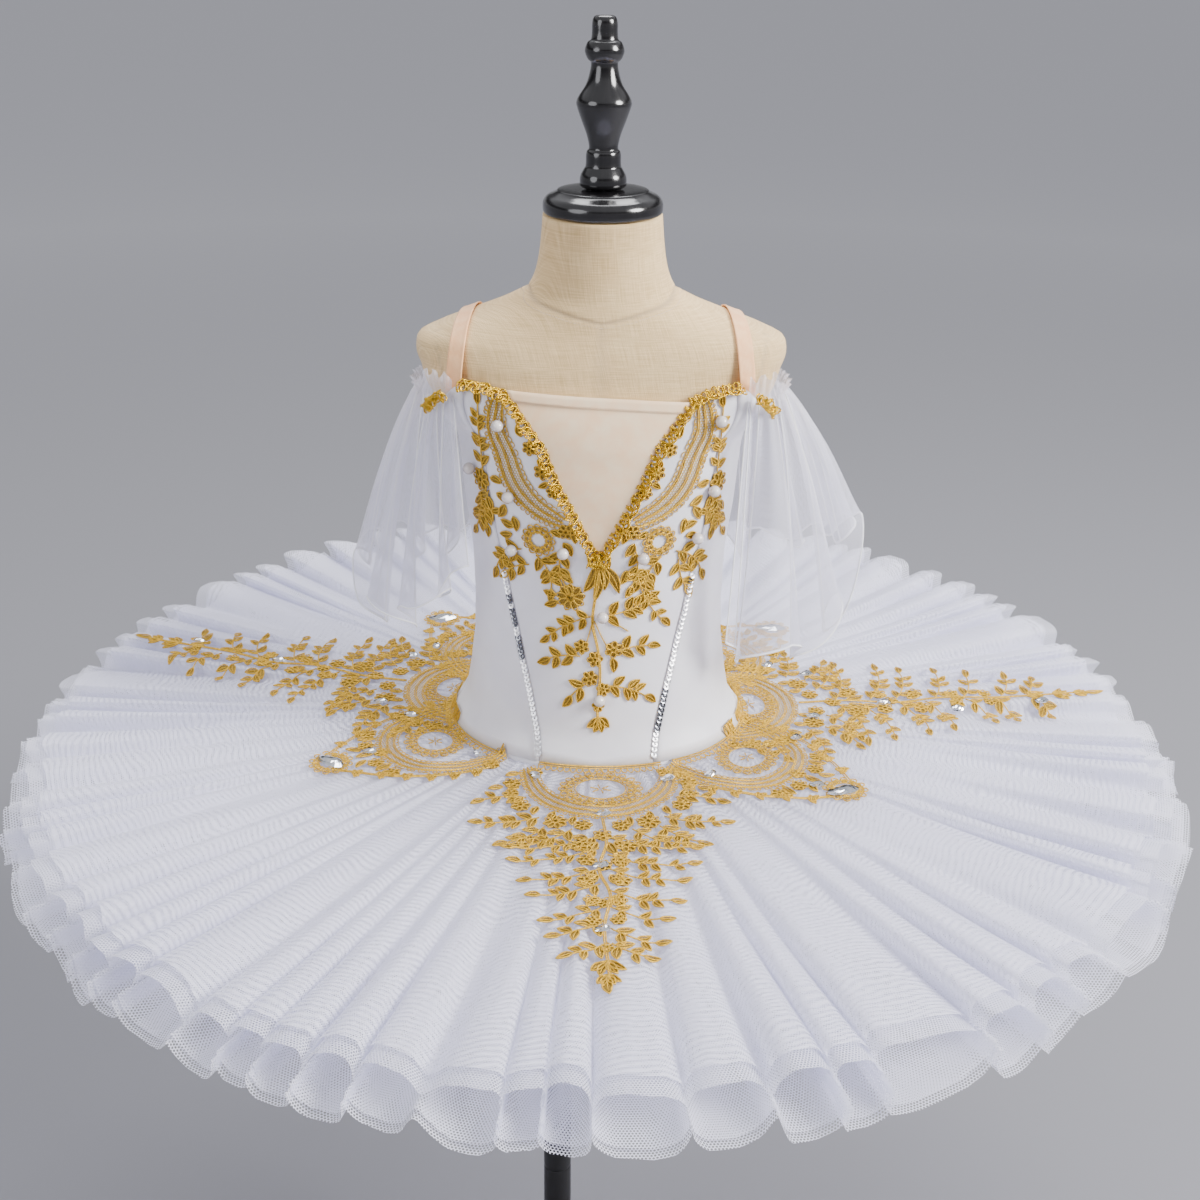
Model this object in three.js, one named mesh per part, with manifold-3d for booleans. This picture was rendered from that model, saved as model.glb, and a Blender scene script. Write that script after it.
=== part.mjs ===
// A child's classical ballet tutu on a limbless dress form with a turned finial, a pole and a round base.
// Millimetres, +Z up, +X to the wearer's left, front towards -Y.
import * as THREE from 'three';
import { mergeVertices } from 'three/addons/utils/BufferGeometryUtils.js';
import Module from 'manifold-3d';

const wasm = await Module();
wasm.setup();

// ---- driving dimensions -------------------------------------------------------------------------

const plateHeight = 700; // the skirt plate above the floor; every body height below counts from it
const poleOffset = 33; // the pole enters the form through one leg, this far beside its middle
const poleRadius = 13;
const baseRadius = 150;
const baseThickness = 14;
const collarRadius = 24;
const collarHeight = 34;
const gap = 0.3; // between pieces at a seam
const formBottom = -118;
const neckTop = 418;
const capTop = 436;

const formUndercut = 4.6; // the form is slimmer by this share in a hundred where cloth covers it
const undercutTop = 330; // the undercut dies away towards this height
const undercutFade = 20;
const formClearance = 0.8; // from the figure to the inside of the cloth
const facetAllowance = 1.9; // lets flat facets of one piece lie over those of another
const satinThickness = 1.6;
const knitThickness = 1.2;
const elasticThickness = 1.0;
const laceThickness = 1.0;
const braidThickness = 2.2;
const braidWidth = 9;
const strapWidth = 12;
const sequinWidth = 5;
const tulleThickness = 1.5;
const netThickness = 1.2;

const hipSeam = 13; // height of the seam between bodice and brief
const hipSpring = 7; // how far the cloth stands off the form at that seam
const hipSpringAbove = 23; // over this height above the seam it comes back to the form
const hipSpringBelow = 20; // and over this height below it
const strapClearance = 2.2;
const strapFront = 107; // from the middle of the body to the strap's middle, at its front end
const strapBack = 88; // and at its back end
const plateLaceMargin = 6; // from the seam at the hip to the lace on the plate
const fluteCount = 72; // flutes round every net layer
const crotchHalfWidth = 15;
const legOpeningTop = -38; // height of the leg openings at the sides

// ---- tables -------------------------------------------------------------------------------------

// Sections of the dress form; 'square' is the exponent of the rounded outline (2 is an ellipse).
const formRows = [
  { z: formBottom, halfWidth: 96, halfDepth: 76, square: 2 },
  { z: -104, halfWidth: 110, halfDepth: 90, square: 2 },
  { z: -60, halfWidth: 116, halfDepth: 95, square: 2 },
  { z: 0, halfWidth: 113, halfDepth: 92, square: 2 },
  { z: 40, halfWidth: 104, halfDepth: 85, square: 2 },
  { z: 80, halfWidth: 98, halfDepth: 79, square: 2 },
  { z: 115, halfWidth: 96, halfDepth: 77, square: 2 },
  { z: 160, halfWidth: 97, halfDepth: 78, square: 2 },
  { z: 205, halfWidth: 102, halfDepth: 81, square: 2.1 },
  { z: 245, halfWidth: 105, halfDepth: 83, square: 2.2 },
  { z: 262, halfWidth: 108, halfDepth: 83, square: 2.2 },
  { z: 280, halfWidth: 126, halfDepth: 80, square: 2.2 },
  { z: 296, halfWidth: 137.5, halfDepth: 74, square: 2.3 },
  { z: 316, halfWidth: 142, halfDepth: 66, square: 2.4 },
  { z: 328, halfWidth: 138, halfDepth: 60, square: 2.3 },
  { z: 337, halfWidth: 122, halfDepth: 56, square: 2.2 },
  { z: 346, halfWidth: 98, halfDepth: 53, square: 2.1 },
  { z: 357, halfWidth: 70, halfDepth: 50, square: 2 },
  { z: 366, halfWidth: 54, halfDepth: 47.5, square: 2 },
  { z: 383, halfWidth: 47.5, halfDepth: 45.5, square: 2 },
  { z: 400, halfWidth: 45, halfDepth: 44, square: 2 },
  { z: neckTop, halfWidth: 43.5, halfDepth: 43.5, square: 2 },
];

const baseProfile = [
  { z: 0, radius: baseRadius - 2 },
  { z: 2, radius: baseRadius },
  { z: baseThickness - 4, radius: baseRadius },
  { z: baseThickness, radius: baseRadius - 10 },
  { z: baseThickness + 2, radius: collarRadius + 8 },
  { z: baseThickness + 6, radius: collarRadius },
  { z: collarHeight, radius: collarRadius - 4 },
];

const capProfile = [
  { z: neckTop + gap, radius: 42 },
  { z: 421, radius: 43.6 },
  { z: 427, radius: 43.6 },
  { z: 431, radius: 41 },
  { z: 433, radius: 36 },
  { z: 434.5, radius: 33.6 },
  { z: capTop, radius: 32.6 },
];

const finialProfile = [
  { z: capTop + gap, radius: 16.9 },
  { z: 445, radius: 16.9 },
  { z: 450, radius: 14 },
  { z: 452, radius: 12.6 },
  { z: 462, radius: 12.6 },
  { z: 464, radius: 10 },
  { z: 473, radius: 11.9 },
  { z: 483, radius: 15.9 },
  { z: 491, radius: 18.8 },
  { z: 495, radius: 19.9 },
  { z: 499, radius: 18.7 },
  { z: 508, radius: 12.2 },
  { z: 522, radius: 8.8 },
  { z: 524, radius: 12 },
  { z: 530, radius: 14.4 },
  { z: 536, radius: 12 },
  { z: 537, radius: 9 },
  { z: 553, radius: 9 },
];

// Upper edge of the bodice, by the angle round the body from the middle of the front.
const neckline = [
  { phi: 0, z: 181 },
  { phi: 4.5, z: 195 },
  { phi: 10, z: 218 },
  { phi: 17, z: 249 },
  { phi: 22, z: 279 },
  { phi: 25, z: 297 },
  { phi: 31, z: 304 },
  { phi: 40, z: 306 },
  { phi: 46, z: 303 },
  { phi: 57, z: 290 },
  { phi: 75, z: 264 },
  { phi: 92, z: 252 },
  { phi: 135, z: 261 },
  { phi: 180, z: 264 },
];
const veeRows = 6; // the first rows of the neckline are the V
const princessTop = 40; // angle where the princess seam meets the neckline
const sideSeam = 92;

// The princess seam, by height.
const princessSeam = [
  { z: hipSeam, phi: 22 },
  { z: 60, phi: 30 },
  { z: 100, phi: 37 },
  { z: 150, phi: 44.5 },
  { z: 185, phi: 48 },
  { z: 259, phi: 51 },
  { z: 306, phi: princessTop },
];

// Outline of each lace panel below the neckline: outer and inner angle, from the top down.
const bodiceLaceRows = [
  { z: 296, outer: 43, inner: 27.5 },
  { z: 280, outer: 51, inner: 25 },
  { z: 255, outer: 56, inner: 20.5 },
  { z: 230, outer: 58, inner: 15 },
  { z: 205, outer: 59, inner: 9 },
  { z: 190, outer: 57, inner: 3.5 },
  { z: 178, outer: 51, inner: 3 },
  { z: 164, outer: 40, inner: 3 },
  { z: 150, outer: 29, inner: 3 },
];
const bodiceDropRows = [
  { z: 147, halfAngle: 24 },
  { z: 120, halfAngle: 20 },
  { z: 90, halfAngle: 17 },
  { z: 60, halfAngle: 12 },
  { z: 36, halfAngle: 2 },
];

const sequinHeights = [159, 140, 120, 100, 80, 60, 42, 28, 16];

// The short braid over the gathers of each sleeve.
const sleeveBraidPlaces = [
  { phi: 47.5, z: 303 },
  { phi: 52, z: 300 },
  { phi: 57, z: 296 },
  { phi: 62, z: 293 },
];

// Net layers from the top down. 'side' is +1 where the flutes arch up and -1 where they dip.
const netLayers = [
  { name: 'net_top', hemRadius: 440, hipZ: 9, hemZ: 7, hemFlute: 6.5, side: 1, rings: 'fine' },
  { name: 'net_second', hemRadius: 453, hipZ: 0, hemZ: 4, hemFlute: 6.5, side: 1, rings: 'plain' },
  { name: 'net_third', hemRadius: 464, hipZ: -9, hemZ: -11.5, hemFlute: 6.5, side: -1, rings: 'plain' },
  { name: 'net_under', hemRadius: 469, hipZ: -18, hemZ: -14.5, hemFlute: 6.5, side: -1, rings: 'plain' },
];
// Rings of a layer: share of the way out, and share of the hem's flute depth.
const netRings = {
  fine: [
    { share: 0, flute: 0.1 },
    { share: 0.42, flute: 0.18 },
    { share: 0.72, flute: 0.54 },
    { share: 1, flute: 1 },
  ],
  plain: [
    { share: 0, flute: 0.1 },
    { share: 1, flute: 1 },
  ],
};

// Lace motifs round the hip, clockwise seen from above, each named by where it lies.
const plateMotifs = [
  { name: 'drop_front', kind: 'drop', azimuth: 0, reach: 370 },
  { name: 'medallion_front_right', kind: 'medallion', azimuth: 57, reach: 243 },
  { name: 'drop_right', kind: 'drop', azimuth: 95, reach: 434 },
  { name: 'medallion_back_right', kind: 'medallion', azimuth: 135, reach: 243 },
  { name: 'drop_back', kind: 'drop', azimuth: 179, reach: 370 },
  { name: 'medallion_back_left', kind: 'medallion', azimuth: 220, reach: 243 },
  { name: 'drop_left', kind: 'drop', azimuth: 254, reach: 434 },
  { name: 'medallion_front_left', kind: 'medallion', azimuth: 294, reach: 243 },
];
// Half width of a motif at a share of its length, before its neighbours limit it.
const motifOutlines = {
  drop: [
    { share: 0, halfWidth: 90 },
    { share: 0.3, halfWidth: 84 },
    { share: 0.48, halfWidth: 62 },
    { share: 0.7, halfWidth: 42 },
    { share: 0.86, halfWidth: 26 },
    { share: 1, halfWidth: 4 },
  ],
  medallion: [
    { share: 0, halfWidth: 62 },
    { share: 0.35, halfWidth: 62 },
    { share: 0.7, halfWidth: 46 },
    { share: 0.88, halfWidth: 26 },
    { share: 1, halfWidth: 8 },
  ],
};

// Sleeve drapes: 'along' runs from the front edge round the arm to the back edge.
const sleeveHems = {
  left: [
    { along: 0, z: 168 },
    { along: 0.18, z: 120 },
    { along: 0.36, z: 116 },
    { along: 0.5, z: 148 },
    { along: 0.7, z: 150 },
    { along: 0.85, z: 135 },
    { along: 1, z: 150 },
  ],
  right: [
    { along: 0, z: 96 },
    { along: 0.22, z: 92 },
    { along: 0.36, z: 108 },
    { along: 0.5, z: 176 },
    { along: 0.7, z: 160 },
    { along: 0.85, z: 135 },
    { along: 1, z: 150 },
  ],
};
const sleeveTops = [
  { along: 0, z: 315, gather: 298 },
  { along: 0.15, z: 316, gather: 297 },
  { along: 0.3, z: 300, gather: 293 },
  { along: 1, z: 297, gather: 290 },
];
const sleeveRows = [
  { drop: 0.3, fold: 2.5 },
  { drop: 0.6, fold: 5 },
  { drop: 1, fold: 8 },
];
const sleeveStart = 47; // angles round the form where the sleeve's gathered top begins and ends
const sleeveEnd = 134;
const sleeveSegments = 14;
const sleeveHemCentre = 98;
const sleeveHemReach = { left: 90, right: 98 };
const sleeveHemDepth = 62;
const sleeveClearance = 3.4;
const sleeveHeadingLean = 4;
const sleeveFoldLift = 3; // the folds stand this far off the heading where the braid lies on them

// ---- small tools --------------------------------------------------------------------------------

const radians = THREE.MathUtils.degToRad;
const lerp = THREE.MathUtils.lerp;
const steps = (count) => Array.from({ length: count + 1 }, (_, i) => i / count);

function lookUp(rows, key, at, column) {
  const last = rows.length - 1;
  const rising = rows[last][key] > rows[0][key];
  const passed = (row) => (rising ? row[key] <= at : row[key] >= at);
  let i = 0;
  while (i < last - 1 && passed(rows[i + 1])) i += 1;
  const share = (at - rows[i][key]) / (rows[i + 1][key] - rows[i][key]);
  return lerp(rows[i][column], rows[i + 1][column], THREE.MathUtils.clamp(share, 0, 1));
}

// A point of the form's skin at an angle round the body (0 in front, 90 on the wearer's left).
function formPoint(phi, z) {
  const power = 2 / lookUp(formRows, 'z', z, 'square');
  const sine = Math.sin(radians(phi));
  const cosine = Math.cos(radians(phi));
  const x = lookUp(formRows, 'z', z, 'halfWidth') * Math.sign(sine) * Math.abs(sine) ** power;
  const y = lookUp(formRows, 'z', z, 'halfDepth') * Math.sign(cosine) * Math.abs(cosine) ** power;
  return new THREE.Vector3(x, -y, z);
}

function formNormal(phi, z) {
  const around = formPoint(phi + 1, z).sub(formPoint(phi - 1, z));
  const up = formPoint(phi, z + 1).sub(formPoint(phi, z - 1));
  return around.cross(up).normalize();
}

const skin = (phi, z, offset) => formPoint(phi, z).addScaledVector(formNormal(phi, z), offset);

// How far the cloth springs off the form near the hip seam.
function hipFlare(z) {
  if (z >= hipSeam) return hipSpring * Math.max(0, 1 - (z - hipSeam) / hipSpringAbove);
  return hipSpring * Math.max(0, 1 - (hipSeam - z) / hipSpringBelow);
}

const bodiceOutside = (z) => formClearance + satinThickness + hipFlare(z);

// Moves a place on the form by millimetres across and upward along its skin.
function slide(phi, z, across, up) {
  const acrossPerDegree = formPoint(phi + 0.5, z).distanceTo(formPoint(phi - 0.5, z));
  const upPerMillimetre = formPoint(phi, z + 0.5).distanceTo(formPoint(phi, z - 0.5));
  return { phi: phi + across / acrossPerDegree, z: z + up / upPerMillimetre };
}

function signedVolume(positions, triangles) {
  const corner = (i) => new THREE.Vector3(...positions.slice(3 * i, 3 * i + 3));
  return triangles.reduce((sum, [a, b, c]) => sum + corner(a).dot(corner(b).cross(corner(c))), 0);
}

function solidGeometry(points, triangles) {
  const positions = points.flatMap((point) => point.toArray());
  const outward = signedVolume(positions, triangles) > 0;
  const index = triangles.flatMap(([a, b, c]) => (outward ? [a, b, c] : [a, c, b]));
  const geometry = new THREE.BufferGeometry();
  geometry.setAttribute('position', new THREE.Float32BufferAttribute(positions, 3));
  geometry.setIndex(index);
  geometry.computeVertexNormals();
  return geometry;
}

// A closed wall between two grids of points, rows by columns. A ring's last column meets its first.
// With 'sag' each quad is split along its lower diagonal.
function wall(outer, inner, { ring = false, sag = false } = {}) {
  const rows = outer.length;
  const columns = outer[0].length;
  const points = [...outer.flat(), ...inner.flat()];
  const at = (side, row, column) => side * rows * columns + row * columns + (column % columns);
  const triangles = [];
  const quad = (a, b, c, d, reversed) => {
    const low = sag && points[a].z + points[c].z > points[b].z + points[d].z;
    const halves = low ? [[a, b, d], [b, c, d]] : [[a, b, c], [a, c, d]];
    halves.forEach(([p, q, r]) => triangles.push(reversed ? [p, r, q] : [p, q, r]));
  };
  const spans = ring ? columns : columns - 1;
  for (let i = 0; i < rows - 1; i += 1) {
    for (let j = 0; j < spans; j += 1) {
      quad(at(0, i, j), at(0, i, j + 1), at(0, i + 1, j + 1), at(0, i + 1, j), false);
      quad(at(1, i, j), at(1, i, j + 1), at(1, i + 1, j + 1), at(1, i + 1, j), true);
    }
  }
  for (let j = 0; j < spans; j += 1) {
    quad(at(0, 0, j), at(1, 0, j), at(1, 0, j + 1), at(0, 0, j + 1), false);
    quad(at(0, rows - 1, j), at(0, rows - 1, j + 1), at(1, rows - 1, j + 1), at(1, rows - 1, j), false);
  }
  if (!ring) {
    for (let i = 0; i < rows - 1; i += 1) {
      const end = columns - 1;
      quad(at(0, i, 0), at(0, i + 1, 0), at(1, i + 1, 0), at(1, i, 0), false);
      quad(at(0, i, end), at(1, i, end), at(1, i + 1, end), at(0, i + 1, end), false);
    }
  }
  return solidGeometry(points, triangles);
}

// A solid through closed rings of points, capped flat at both ends.
function loft(rings) {
  const count = rings[0].length;
  const points = rings.flat();
  const triangles = [];
  for (let i = 0; i < rings.length - 1; i += 1) {
    for (let j = 0; j < count; j += 1) {
      const next = (j + 1) % count;
      const [a, b, c, d] = [i * count + j, i * count + next, (i + 1) * count + next, (i + 1) * count + j];
      triangles.push([a, b, c], [a, c, d]);
    }
  }
  const top = (rings.length - 1) * count;
  for (let j = 1; j < count - 1; j += 1) {
    triangles.push([0, j + 1, j], [top, top + j, top + j + 1]);
  }
  return solidGeometry(points, triangles);
}

function turned(profile, segments) {
  const outline = profile.map(({ z, radius }) => new THREE.Vector2(radius, z));
  const closed = [new THREE.Vector2(0, profile[0].z), ...outline, new THREE.Vector2(0, profile.at(-1).z)];
  const geometry = new THREE.LatheGeometry(closed, segments);
  geometry.rotateX(Math.PI / 2);
  return geometry;
}

const formRing = (z, offset, count) => steps(count).slice(0, -1).map((share) => skin(360 * share, z, offset));

// ---- group and materials ------------------------------------------------------------------------

const tutu = new THREE.Group();
const body = new THREE.Group(); // everything that counts its heights from the plate
body.position.set(poleOffset, 0, plateHeight);
tutu.add(body);

const finish = (color, roughness, metalness = 0) => ({ color, roughness, metalness });
const linen = finish(0xd9cbb4, 0.9);
const blackWood = finish(0x0b0b0c, 0.3);
const blackSteel = finish(0x17171a, 0.45, 0.3);
const satin = finish(0xe9e8f0, 0.45);
const nudeKnit = finish(0xe8c9ad, 0.75);
const elastic = finish(0xe9c0a0, 0.6);
const net = finish(0xdfe2f0, 0.7);
const tulle = finish(0xeceef6, 0.7);
const goldLace = finish(0xc2a04a, 0.5, 0.3);
const goldBraid = finish(0xb8872a, 0.35, 0.7);
const sequins = finish(0xcfd2d8, 0.2, 0.8);

function add(parent, name, geometry, material) {
  const mesh = new THREE.Mesh(geometry, new THREE.MeshStandardMaterial(material));
  mesh.name = name;
  parent.add(mesh);
  return mesh;
}

// ---- stand and dress form -----------------------------------------------------------------------

function standPole() {
  const bottom = collarHeight + gap;
  const top = plateHeight + formBottom - gap;
  return turned([{ z: bottom, radius: poleRadius }, { z: top, radius: poleRadius }], 24);
}

function formTorso() {
  return loft(formRows.map(({ z }) => {
    const undercut = formUndercut * THREE.MathUtils.clamp((undercutTop - z) / undercutFade, 0, 1);
    const slim = 1 - undercut / 100;
    return formRing(z, 0, 36).map((point) => point.multiply(new THREE.Vector3(slim, slim, 1)));
  }));
}

add(tutu, 'stand_base', turned(baseProfile, 40), blackSteel);
add(tutu, 'stand_pole', standPole(), blackSteel);
add(body, 'form_torso', formTorso(), linen);
add(body, 'form_neck_cap', turned(capProfile, 36), blackWood);
add(body, 'form_finial', turned(finialProfile, 20), blackWood);

// ---- bodice -------------------------------------------------------------------------------------

// A satin panel from columns of places: each column runs from the hip seam to its top edge.
function satinPanel(columns) {
  const place = (column, z, offset) => skin(column.angle(z), z, offset + hipFlare(z));
  const springTop = hipSeam + hipSpringAbove;
  const grid = (offset) => [
    columns.map((column) => place(column, hipSeam, offset)),
    ...steps(5).map((up) => columns.map((column) => place(column, lerp(springTop, column.top, up), offset))),
  ];
  return wall(grid(formClearance + satinThickness), grid(formClearance));
}

const seamAngle = (z) => lookUp(princessSeam, 'z', z, 'phi');
const halfGapAngle = 0.1; // half the seam gap as an angle round the body

function frontPanel() {
  const rightHalf = neckline.filter(({ phi }) => phi <= princessTop);
  const shares = rightHalf.map(({ phi, z }) => ({ share: phi / seamAngle(z), top: z }));
  const mirrored = shares.slice(1).reverse().map(({ share, top }) => ({ share: -share, top }));
  const columns = [...mirrored, ...shares].map(({ share, top }) => ({
    top,
    angle: (z) => share * (seamAngle(z) - halfGapAngle),
  }));
  return satinPanel(columns);
}

// A panel between two edges given as angle functions, on one side of the body.
function sidePanel(sign, from, to, columnCount) {
  const columns = steps(columnCount).map((share) => {
    const angle = (z) => lerp(from(z), to(z), share);
    let top = 280;
    for (let i = 0; i < 12; i += 1) top = lookUp(neckline, 'phi', angle(top), 'z');
    return { top, angle: (z) => sign * angle(z) };
  });
  return satinPanel(columns);
}

const sides = [{ name: 'left', sign: -1 }, { name: 'right', sign: 1 }];

add(body, 'bodice_front', frontPanel(), satin);
sides.forEach(({ name, sign }) => {
  const princess = (z) => seamAngle(z) + halfGapAngle;
  const beforeSide = () => sideSeam - halfGapAngle;
  const afterSide = () => sideSeam + halfGapAngle;
  const centreBack = () => 180 - halfGapAngle;
  add(body, `bodice_side_front_${name}`, sidePanel(sign, princess, beforeSide, 4), satin);
  add(body, `bodice_back_${name}`, sidePanel(sign, afterSide, centreBack, 5), satin);
});

function nudeInsert() {
  const edgeGap = 0.5; // across the body, which is about a seam gap square to the slanted edge
  const rows = neckline.slice(0, veeRows).map(({ phi, z }) => slide(phi, z, -edgeGap, 0));
  rows[0] = slide(0, neckline[0].z + 4, 1, 0);
  const grid = (offset) => rows.map(({ phi, z }) => steps(6).map((s) => skin(lerp(-phi, phi, s), z, offset)));
  return wall(grid(formClearance + knitThickness), grid(formClearance));
}

add(body, 'nude_insert', nudeInsert(), nudeKnit);

// Where a ray in the plane x = const, tilted by an angle from the front over the top, leaves the form.
function strapPoint(x, angle, offset) {
  const heartHeight = 270; // inside the form at every strap angle
  const farthest = 120; // outside it at every strap angle
  const halvings = 30;
  const heart = new THREE.Vector3(x, 0, heartHeight);
  const ray = new THREE.Vector3(0, -Math.cos(radians(angle)), Math.sin(radians(angle)));
  const inside = (distance) => {
    const point = heart.clone().addScaledVector(ray, distance);
    const power = lookUp(formRows, 'z', point.z, 'square');
    const across = Math.abs(point.x / lookUp(formRows, 'z', point.z, 'halfWidth')) ** power;
    const deep = Math.abs(point.y / lookUp(formRows, 'z', point.z, 'halfDepth')) ** power;
    return across + deep < 1;
  };
  let near = 0;
  let far = farthest;
  for (let i = 0; i < halvings; i += 1) {
    const middle = (near + far) / 2;
    if (inside(middle)) near = middle;
    else far = middle;
  }
  return heart.addScaledVector(ray, near + offset);
}

function strap(sign) {
  const angles = [34, 50, 66, 82, 98, 114, 130, 146, 162, 176, 183, 189.5];
  const grid = (offset) => angles.map((angle) => {
    const x = lerp(strapFront, strapBack, (angle - angles[0]) / (angles.at(-1) - angles[0]));
    return [-0.5, 0.5].map((edge) => strapPoint(sign * x + edge * strapWidth, angle, offset));
  });
  return wall(grid(strapClearance + elasticThickness), grid(strapClearance));
}

sides.forEach(({ name, sign }) => add(body, `strap_${name}`, strap(sign), elastic));

// ---- braid, lace and sequins on the bodice ------------------------------------------------------

const laceInside = (z) => bodiceOutside(z) + facetAllowance;
const braidInside = (z) => laceInside(z) + laceThickness + facetAllowance / 2;

const footReach = 1.4; // the foot of the V hangs lower than the strip is wide

// A flat strip that follows places on the body and reaches 'width' to one side of them.
function edgeStrip(sign, places, width, inside, thickness, firstStraightDown) {
  const grid = (extra) => places.map((place, i) => {
    const before = places[Math.max(i - 1, 0)];
    const after = places[Math.min(i + 1, places.length - 1)];
    const perDegree = formPoint(place.phi + 0.5, place.z).distanceTo(formPoint(place.phi - 0.5, place.z));
    const along = new THREE.Vector2((after.phi - before.phi) * perDegree, after.z - before.z).normalize();
    const down = firstStraightDown && i === 0;
    const far = down
      ? slide(place.phi, place.z, 0, -width * footReach)
      : slide(place.phi, place.z, along.y * width, -along.x * width);
    return [place, far].map(({ phi, z }) => skin(sign * phi, z, inside(z) + extra));
  });
  return wall(grid(thickness), grid(0));
}

const middlePlace = { phi: 0.15, z: neckline[0].z };
const braidPlaces = [middlePlace, ...neckline.slice(1).filter(({ phi }) => phi <= princessTop), { phi: 43, z: 305 }];
sides.forEach(({ name, sign }) => {
  const strip = edgeStrip(sign, braidPlaces, braidWidth, braidInside, braidThickness, true);
  add(body, `braid_${name}`, strip, goldBraid);
});

// A lace panel over the bodice from rows with a left and right angle.
function bodiceLace(rows, columnCount) {
  const grid = (extra) => rows.map(({ z, from, to }) => (
    steps(columnCount).map((share) => skin(lerp(from, to, share), z, laceInside(z) + extra))
  ));
  return wall(grid(laceThickness), grid(0));
}

sides.forEach(({ name, sign }) => {
  const rows = bodiceLaceRows.map(({ z, outer, inner }) => ({ z, from: sign * outer, to: sign * inner }));
  add(body, `bodice_lace_${name}`, bodiceLace(rows, 5), goldLace);
});
const dropRows = bodiceDropRows.map(({ z, halfAngle }) => ({ z, from: -halfAngle, to: halfAngle }));
add(body, 'bodice_lace_drop', bodiceLace(dropRows, 4), goldLace);

function sequinTrim(sign) {
  const rows = sequinHeights.map((z) => {
    const half = sequinWidth / 2 / formPoint(seamAngle(z) + 0.5, z).distanceTo(formPoint(seamAngle(z) - 0.5, z));
    return { z, from: sign * (seamAngle(z) - half), to: sign * (seamAngle(z) + half) };
  });
  return bodiceLace(rows, 1);
}

sides.forEach(({ name, sign }) => add(body, `sequin_trim_${name}`, sequinTrim(sign), sequins));

// ---- sleeve drapes ------------------------------------------------------------------------------

function sleeve(name, sign) {
  const edgeAt = (along) => lerp(sleeveStart, sleeveEnd, along);
  const outward = (along) => {
    const turn = Math.PI * along;
    return new THREE.Vector3(sign * Math.sin(turn), -Math.cos(turn), 0);
  };
  const gather = (along) => skin(sign * edgeAt(along), lookUp(sleeveTops, 'along', along, 'gather'), sleeveClearance);
  const heading = (along) => {
    const z = lookUp(sleeveTops, 'along', along, 'z');
    const point = gather(along).addScaledVector(outward(along), sleeveHeadingLean);
    return point.setZ(z);
  };
  const hem = (along) => {
    const turn = Math.PI * along;
    const x = sleeveHemCentre + sleeveHemReach[name] * Math.sin(turn);
    const z = lookUp(sleeveHems[name], 'along', along, 'z');
    return new THREE.Vector3(sign * x, -sleeveHemDepth * Math.cos(turn), z);
  };
  const grid = (extra) => {
    const column = (i) => {
      const along = i / sleeveSegments;
      const fold = i % 2 ? -1 : 1;
      const hang = sleeveRows.map((row) => (
        gather(along).lerp(hem(along), row.drop).addScaledVector(outward(along), fold * row.fold)
      ));
      return [heading(along).addScaledVector(outward(along), 1 + fold), gather(along), ...hang]
        .map((point) => point.addScaledVector(outward(along), extra));
    };
    const columns = Array.from({ length: sleeveSegments + 1 }, (_, i) => column(i));
    return columns[0].map((_, row) => columns.map((points) => points[row]));
  };
  return wall(grid(tulleThickness), grid(0));
}

sides.forEach(({ name, sign }) => add(body, `sleeve_${name}`, sleeve(name, sign), tulle));

// The same braid sewn over the gathers at the front of each sleeve.
sides.forEach(({ name, sign }) => {
  const over = () => sleeveClearance + sleeveHeadingLean + sleeveFoldLift + tulleThickness + gap;
  const strip = edgeStrip(sign, sleeveBraidPlaces, braidWidth, over, braidThickness, false);
  add(body, `sleeve_braid_${name}`, strip, goldBraid);
});

// ---- brief --------------------------------------------------------------------------------------

function toManifold(geometry) {
  const bare = geometry.clone();
  bare.deleteAttribute('normal');
  bare.deleteAttribute('uv');
  const merged = mergeVertices(bare, 1e-4);
  const vertProperties = new Float32Array(merged.attributes.position.array);
  const triVerts = new Uint32Array(merged.index.array);
  return new wasm.Manifold(new wasm.Mesh({ numProp: 3, vertProperties, triVerts }));
}

function fromManifold(solid) {
  const mesh = solid.getMesh();
  const geometry = new THREE.BufferGeometry();
  geometry.setAttribute('position', new THREE.BufferAttribute(mesh.vertProperties, 3));
  geometry.setIndex(new THREE.BufferAttribute(mesh.triVerts, 1));
  geometry.computeVertexNormals();
  return geometry;
}

// The region that one leg opening takes out, seen from the front, right through the brief.
function legCut(sign) {
  const reach = 150;
  const outline = new THREE.Shape();
  outline.moveTo(sign * crotchHalfWidth, formBottom - 20);
  outline.lineTo(sign * crotchHalfWidth, formBottom + 4);
  outline.quadraticCurveTo(sign * 40, -62, sign * reach, legOpeningTop);
  outline.lineTo(sign * reach, formBottom - 20);
  outline.closePath();
  const cut = new THREE.ExtrudeGeometry(outline, { depth: 2 * reach, bevelEnabled: false, curveSegments: 6 });
  cut.rotateX(Math.PI / 2);
  cut.translate(0, reach, 0);
  return toManifold(cut);
}

function brief() {
  const top = hipSeam - gap;
  const seatThickness = knitThickness + formClearance;
  const heights = [-104, -60, hipSeam - hipSpringBelow, top];
  const ring = (z, offset) => formRing(z, offset + hipFlare(z), 20);
  const sole = (drop, offset) => formRing(formBottom, offset, 20).map((point) => point.setZ(formBottom - drop));
  const outside = [sole(seatThickness, seatThickness), ...heights.map((z) => ring(z, seatThickness))];
  const lidRise = 20; // carries the hollow out through the top
  const lid = ring(top, formClearance).map((point) => point.clone().setZ(point.z + lidRise));
  const inside = [
    sole(formClearance, formClearance),
    ...heights.map((z) => ring(z, formClearance)),
    lid,
  ];
  const shell = toManifold(loft(outside)).subtract(toManifold(loft(inside)));
  return fromManifold(sides.reduce((solid, { sign }) => solid.subtract(legCut(sign)), shell));
}

add(body, 'brief', brief(), satin);

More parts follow.
